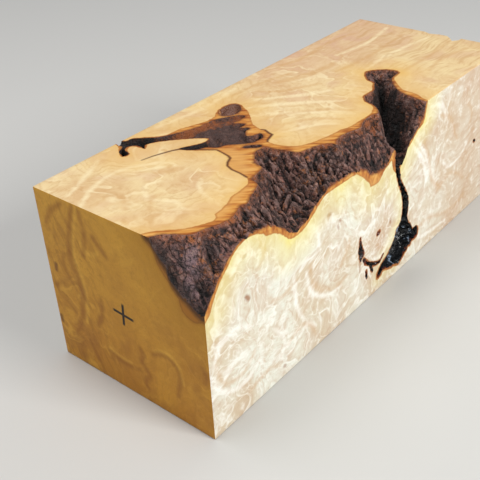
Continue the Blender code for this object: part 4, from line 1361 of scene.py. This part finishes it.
# %% Wood: fine mottle, grain and streaks
mottle = add(
    tree, "TexNoise", {"Vector": crinkled, "Scale": 1 / 0.0042, "Detail": 3.0, "Roughness": 0.65}
)["Fac"]
mottle_most = add(tree, "Math", {0: lively, 1: 0.38}, operation="MULTIPLY")[0]
mottled = lay_over(tree, flecked_wood, line_colour, mottle, 0.52, 0.68, mottle_most)
lit_most = add(
    tree, "Math", {0: number["long_face"], 1: 0.35, 2: 0.2}, operation="MULTIPLY_ADD"
)[0]
lit = lay_over(tree, mottled, bright, mottle, 0.46, 0.3, lit_most)
grain_place = add(
    tree, "Mapping", {"Vector": swirled, "Scale": (1 / 0.035, 1 / 0.0022, 1 / 0.0022)}
)[0]
grain = add(tree, "TexNoise", {"Vector": grain_place, "Scale": 1.0, "Detail": 3.0})["Fac"]
grain_most = add(tree, "Math", {0: number["straight"], 1: 0.5}, operation="MULTIPLY")[0]
grained = lay_over(tree, lit, line_colour, grain, 0.5, 0.66, grain_most)
STREAK_SLANT = math.radians(-24)
streak_place = add(
    tree, "Mapping",
    {"Vector": swirled, "Rotation": (STREAK_SLANT, 0, 0), "Scale": (0.01, 0.0032, 0.016)},
    vector_type="TEXTURE",
)[0]
streaks = add(tree, "TexNoise", {"Vector": streak_place, "Scale": 1.0, "Detail": 2.5})["Fac"]
streak_most = add(tree, "Math", {0: number["streaky"], 1: 0.4}, operation="MULTIPLY")[0]
streaked = lay_over(tree, grained, colour("8A4A0C"), streaks, 0.5, 0.72, streak_most)

# %% Wood: fibres
# Real fibres are about a tenth of a millimetre wide. That is too fine to show, so they are drawn
# about 0.8 mm wide and 5 mm long.
fibre_place = add(
    tree, "Mapping", {"Vector": swirled, "Scale": (1 / 0.005, 1 / 0.0008, 1 / 0.001)}
)[0]
fibre = add(tree, "TexNoise", {"Vector": fibre_place, "Scale": 1.0, "Detail": 2.0})["Fac"]
fibred = lay_over(tree, streaked, line_colour, fibre, 0.5, 0.72, 0.16)

# %% Wood: the yellow band beside the bark
halo_place = add(
    tree, "Math", {0: cloud, 1: 22.0, 2: number["halo_mm"]}, operation="MULTIPLY_ADD"
)[0]
into_wood = add(
    tree, "MapRange", {"Value": halo_place, "From Min": 8.0, "From Max": 29.0}
)["Result"]
yellow_fall = add(
    tree, "ValToRGB", {"Fac": into_wood},
    stops=[(0, grey(0.88)), (0.25, grey(0.5)), (1, grey(0))],
)[0]
haloed = lay_over(tree, fibred, by_face("E3B564", "EDDE7E", "B27A16"), yellow_fall)

# %% Inner bark: layers of orange-brown
POCKET_SLANT = math.radians(-49)
layer_place = add(
    tree, "Mapping",
    {"Vector": where, "Rotation": (0, 0, POCKET_SLANT), "Scale": (0.012, 0.0022, 0.006)},
    vector_type="TEXTURE",
)[0]
layers = add(tree, "TexNoise", {"Vector": layer_place, "Scale": 1.0, "Detail": 3.0})["Fac"]
inner_bark = add(
    tree, "ValToRGB", {"Fac": layers},
    stops=[(0.32, colour("9A5218")), (0.44, colour("BE7630")), (0.56, colour("D29242")),
           (0.68, colour("E0A85C"))],
)[0]
inner_long = lay_over(tree, inner_bark, colour("DCA65E"), number["bark_mm"], 2.5, 6.0, 0.65)
inner_pale = lay_over(tree, inner_long, colour("AC6C08"), number["end_grain"], most=0.93)

# %% Inner bark: its dark side against the bark, and its line against the wood
ragged = add(tree, "TexNoise", {"Vector": where, "Scale": 1 / 0.0022, "Detail": 4.0})["Fac"]
bark_edge, wood_edge = (
    add(tree, "Math", {0: ragged, 1: times, 2: number[name]}, operation="MULTIPLY_ADD")[0]
    for times, name in ((2.0, "bark_mm"), (1.2, "wood_mm"))
)
dark_from, dark_to, soft_from, soft_to = (
    add(tree, "Math", {0: number["end_grain"], 1: more, 2: least}, operation="MULTIPLY_ADD")[0]
    for more, least in ((3.4, 2.6), (1.7, 0.9), (1.6, 0.85), (-1.1, 0.45))
)
bark_side = by_face("6E3212", "6E3212", "4C2A06")
inner_dark = lay_over(tree, inner_pale, bark_side, bark_edge, dark_from, dark_to, 0.9)
rimmed = lay_over(tree, haloed, inner_dark, wood_edge, soft_from, soft_to)
across_rim = add(
    tree, "MapRange", {"Value": wood_edge, "From Min": -1.0, "From Max": 1.5}
)["Result"]
rim_line = add(
    tree, "ValToRGB", {"Fac": across_rim},
    stops=[(0.2, grey(0)), (0.5, grey(0.5)), (0.66, grey(0.55)), (0.8, grey(0))],
)[0]
edged = lay_over(tree, rimmed, by_face("A8601C", "A8601C", "8A540C"), rim_line)

# %% Thin cracks
# A real crack here is 0.2 to 0.5 mm wide, which is finer than the picture can show, so each is drawn
# about 0.3 mm wider, with soft sides.
cracked = lay_over(tree, edged, colour("54290F"), number["crack_mm"], 0.75, -0.15, 0.9)

# %% The felt-pen cross on the end grain
# Each stroke is a long narrow box, and the place is measured in half widths and half lengths of it.
PEN_PLACE = (-HALF_LENGTH * MM, 0.5 * MM, 47 * MM)
PEN_HALF_WIDTH = 0.75
PEN_STROKES = [(math.radians(5), 6.2), (math.radians(94), 6.4)]
stroke_edges = []
for slant, half_length in PEN_STROKES:
    box = (MM, PEN_HALF_WIDTH * MM, half_length * MM)
    in_box = add(
        tree, "Mapping",
        {"Vector": where, "Location": PEN_PLACE, "Rotation": (slant, 0, 0), "Scale": box},
        vector_type="TEXTURE",
    )[0]
    reach = add(tree, "SeparateXYZ", {0: add(tree, "VectorMath", {0: in_box}, operation="ABSOLUTE")[0]})
    widest = add(tree, "Math", {0: reach[0], 1: reach[1]}, operation="MAXIMUM")[0]
    stroke_edges.append(add(tree, "Math", {0: widest, 1: reach[2]}, operation="MAXIMUM")[0])
pen_edge = add(tree, "Math", {0: stroke_edges[0], 1: stroke_edges[1]}, operation="MINIMUM")[0]
marked = lay_over(tree, cracked, colour("0A0807"), pen_edge, 1.1, 0.9, 0.97)

# %% Wood: the finish of the sawn face
tree.links.new(marked, wood_shader.inputs["Base Color"])
wood_shader.inputs["Roughness"].default_value = 0.52
wood_shader.inputs["Specular IOR Level"].default_value = 0.3
wood_relief = add(tree, "Math", {0: mottle, 1: 0.5, 2: fibre}, operation="MULTIPLY_ADD")[0]
wood_bump = add(tree, "Bump", {"Height": wood_relief, "Strength": 0.15, "Distance": 0.0003})[0]
tree.links.new(wood_bump, wood_shader.inputs["Normal"])
print("nodes of the wood:", len(tree.nodes))

# %% [markdown]
# ## Maple bark
# The bark is rough and dry. Its plates are a purple-brown and its torn ridges are redder, with orange
# flecks. Its furrows and the gaps between its plates are painted nearly black as painted shade. Near
# the bark corner the smooth plates carry a greyish lilac painted sheen. Deep in the hollow and in the
# slot the colour is painted almost black as painted shade. The stored height steers the colour: pits
# get painted shade and what stands out gets a painted highlight.

# %% Bark: plates in several tones
maple_bark, tree, bark_shader, where, number = new_material("weathered maple bark", (
    "height_mm", "void", "raw", "ashen", "glossy", "feather", "ochre", "smooth",
))
down_slope = add(
    tree, "Mapping", {"Vector": where, "Scale": (1 / 0.0024, 1 / 0.006, 1 / 0.004)}
)[0]
plates = add(
    tree, "TexNoise", {"Vector": down_slope, "Scale": 1.0, "Detail": 5.0, "Roughness": 0.62}
)["Fac"]
bark_colour = add(
    tree, "ValToRGB", {"Fac": plates},
    stops=[(0.32, colour("2E1A15")), (0.46, colour("643E36")), (0.56, colour("8C6054")),
           (0.7, colour("B48A78"))],
)[0]
plate_drift = add(tree, "TexNoise", {"Vector": where, "Scale": 1 / 0.006, "Detail": 2.0})["Color"]
plate_place = add(
    tree, "VectorMath", {0: plate_drift, 1: (0.008, 0.008, 0.008), 2: where}, operation="MULTIPLY_ADD"
)[0]
plate_tone = add(tree, "TexVoronoi", {"Vector": plate_place, "Scale": 1 / 0.0065})["Color"]
toned = lay_over(tree, bark_colour, colour("38211B"), plate_tone, 0.45, 0.8, 0.45)
zones = add(tree, "TexNoise", {"Vector": where, "Scale": 1 / 0.017, "Detail": 2.0})["Fac"]
zoned = lay_over(tree, toned, colour("2A1814"), zones, 0.5, 0.62, 0.6)
soft = lay_over(tree, zoned, colour("46302A"), number["smooth"])

# %% Bark: orange flecks, torn edges, the painted lilac sheen of the corner and the pale side of the lobe
flecks = add(
    tree, "TexNoise", {"Vector": where, "Scale": 1 / 0.003, "Detail": 5.0, "Roughness": 0.7}
)["Fac"]
fleck_most, gap_most = (
    add(tree, "Math", {0: number["smooth"], 1: -most, 2: most}, operation="MULTIPLY_ADD")[0]
    for most in (0.85, 0.55)
)
ochre_flecks = add(
    tree, "Math", {0: number["ochre"], 1: 0.09, 2: flecks}, operation="MULTIPLY_ADD"
)[0]
flecked = lay_over(tree, soft, colour("B06A34"), ochre_flecks, 0.58, 0.68, fleck_most)
raw_edge = add(tree, "Math", {0: flecks, 1: 2.2, 2: number["raw"]}, operation="MULTIPLY_ADD")[0]
torn = lay_over(tree, flecked, colour("9C5628"), raw_edge, 1.35, 2.2, 0.85)
# Painted sheen: patches of greyish lilac on the plates near the bark corner
sheen_patches = add(tree, "TexNoise", {"Vector": where, "Scale": 1 / 0.007, "Detail": 3.0})["Fac"]
sheen_most = add(tree, "Math", {0: number["ashen"], 1: 0.6}, operation="MULTIPLY")[0]
sheened = lay_over(tree, torn, colour("8C747A"), sheen_patches, 0.45, 0.55, sheen_most)
finger_place = add(
    tree, "Mapping",
    {"Vector": where, "Rotation": (0, 0, POCKET_SLANT), "Scale": (0.01, 0.0018, 0.004)},
    vector_type="TEXTURE",
)[0]
fingers = add(tree, "TexNoise", {"Vector": finger_place, "Scale": 1.0, "Detail": 2.0})["Fac"]
finger_edge = add(
    tree, "Math", {0: fingers, 1: 1.6, 2: number["feather"]}, operation="MULTIPLY_ADD"
)[0]
fingered = lay_over(tree, sheened, colour("E2A055"), finger_edge, 1.4, 1.6, 0.95)

# %% Bark: crumbs, and painted shade in the gaps between plates
crumb_noise = add(
    tree, "TexNoise", {"Vector": where, "Scale": 1 / 0.0016, "Detail": 2.0, "Roughness": 0.6}
)["Fac"]
crumbs = add(tree, "Mix", {0: number["smooth"], 2: crumb_noise, 3: 0.5})[0]
speckled = lay_over(tree, fingered, colour("140B09"), crumbs, 0.46, 0.34, 0.85)
crumbed = lay_over(tree, speckled, colour("A8887C"), crumbs, 0.57, 0.7, 0.55)
plate_gaps = add(
    tree, "TexVoronoi", {"Vector": plate_place, "Scale": 1 / 0.0065}, feature="DISTANCE_TO_EDGE"
)["Distance"]
open_gaps = add(
    tree, "MapRange",
    {"Value": plate_gaps, "From Min": 0.085, "From Max": 0.02, "To Max": gap_most},
)["Result"]
# Painted shade: the gaps between the plates are painted nearly black
gap_shaded = lay_over(tree, crumbed, colour("0C0706"), open_gaps)

# %% Bark: painted shade in pits and hollows, and a painted highlight on ridges
# Painted shade in the pits and a painted highlight on the ridges, from the stored height
pit_shaded = lay_over(tree, gap_shaded, colour("0A0605"), number["height_mm"], -0.02, -0.55, 0.94)
ridge_highlit = lay_over(tree, pit_shaded, colour("A6867E"), number["height_mm"], 0.2, 0.8, 0.42)
glossed = lay_over(tree, ridge_highlit, colour("8A5A44"), number["glossy"], most=0.6)
# Painted shade: nearly black in the hollow, the slot and the other deep places
hollow_shade_edge = add(tree, "Math", {0: plates, 1: 0.9, 2: number["void"]}, operation="MULTIPLY_ADD")[0]
hollow_shaded = lay_over(tree, glossed, colour("090605"), hollow_shade_edge, 0.68, 1.5, 0.93)
tree.links.new(hollow_shaded, bark_shader.inputs["Base Color"])

# %% Bark: a dry surface with grit, and a glossy lobe
dry_roughness = add(
    tree, "MapRange",
    {"Value": flecks, "From Min": 0.35, "From Max": 0.6, "To Min": 0.42, "To Max": 0.9},
)["Result"]
bark_roughness = add(tree, "Mix", {0: number["glossy"], 2: dry_roughness, 3: 0.25})[0]
tree.links.new(bark_roughness, bark_shader.inputs["Roughness"])
grit_place = add(
    tree, "Mapping", {"Vector": where, "Scale": (1 / 0.001, 1 / 0.0022, 1 / 0.0016)}
)[0]
grit = add(
    tree, "TexNoise", {"Vector": grit_place, "Scale": 1.0, "Detail": 5.0, "Roughness": 0.65}
)["Fac"]
crumb_height = add(tree, "Math", {0: crumbs, 1: 1.5, 2: grit}, operation="MULTIPLY_ADD")[0]
rough_height = add(tree, "Math", {0: open_gaps, 1: -0.8, 2: crumb_height}, operation="MULTIPLY_ADD")[0]
bark_bump = add(tree, "Bump", {"Height": rough_height, "Strength": 1.0, "Distance": 0.0012})[0]
tree.links.new(bark_bump, bark_shader.inputs["Normal"])
print("nodes of the bark:", len(tree.nodes))

# %% [markdown]
# ## Black knot
# Dead bark and dried sap have filled the crack and the knot. They are black and glassy, with small
# rounded lumps, and rusty brown at the rim. Bluish glints are painted into their colour as painted
# reflections, with a painted highlight on the knot.

# %% Knot
black_knot, tree, knot_shader, where, number = new_material("black sap-filled knot", ("shine", "rim"))
glints, glint_patches, rust = (
    add(tree, "TexNoise", {"Vector": where, "Scale": 1 / size, "Detail": detail})["Fac"]
    for size, detail in ((0.0024, 4.0), (0.007, 1.0), (0.003, 3.0))
)
# Painted glints: where the patches, the glints and the stored painted glint rise, the black turns
# bluish grey and nearly white
glint_base = add(
    tree, "Math", {0: glint_patches, 1: 0.7, 2: number["shine"]}, operation="MULTIPLY_ADD"
)[0]
glint_edge = add(tree, "Math", {0: glint_base, 1: glints}, operation="ADD")[0]
knot_colour_and_glints = add(
    tree, "ValToRGB", {"Fac": glint_edge},
    stops=[(0.6, colour("050506")), (0.9, colour("0E1012")), (0.97, colour("39424D")),
           (1.0, colour("93A1B2"))],
)[0]
rust_edge = add(tree, "Math", {0: rust, 1: 1.4, 2: number["rim"]}, operation="MULTIPLY_ADD")[0]
rusted = lay_over(tree, knot_colour_and_glints, colour("7C3218"), rust_edge, 1.3, 1.55, 0.85)
tree.links.new(rusted, knot_shader.inputs["Base Color"])
knot_shader.inputs["Roughness"].default_value = 0.22
knot_bump = add(tree, "Bump", {"Height": glints, "Strength": 0.7, "Distance": 0.0015})[0]
tree.links.new(knot_bump, knot_shader.inputs["Normal"])
print("nodes of the knot:", len(tree.nodes))

# %% Each face takes its material
block.data.materials.clear()
for finish in (sawn_burl, maple_bark, black_knot):
    block.data.materials.append(finish)
pitch_of_face = np.zeros(face_count)
np.maximum.at(pitch_of_face, corner_face, numbers["pitch"])
finish_of_face = np.where(side >= 0, 0, np.where(pitch_of_face > 0.5, 2, 1)).astype(np.int32)
block.data.polygons.foreach_set("material_index", finish_of_face)
print("faces of wood, bark and knot:", np.bincount(finish_of_face).tolist())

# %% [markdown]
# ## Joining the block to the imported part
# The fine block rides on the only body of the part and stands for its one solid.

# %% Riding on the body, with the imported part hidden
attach(block, "root")
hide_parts("maple_burl_block")
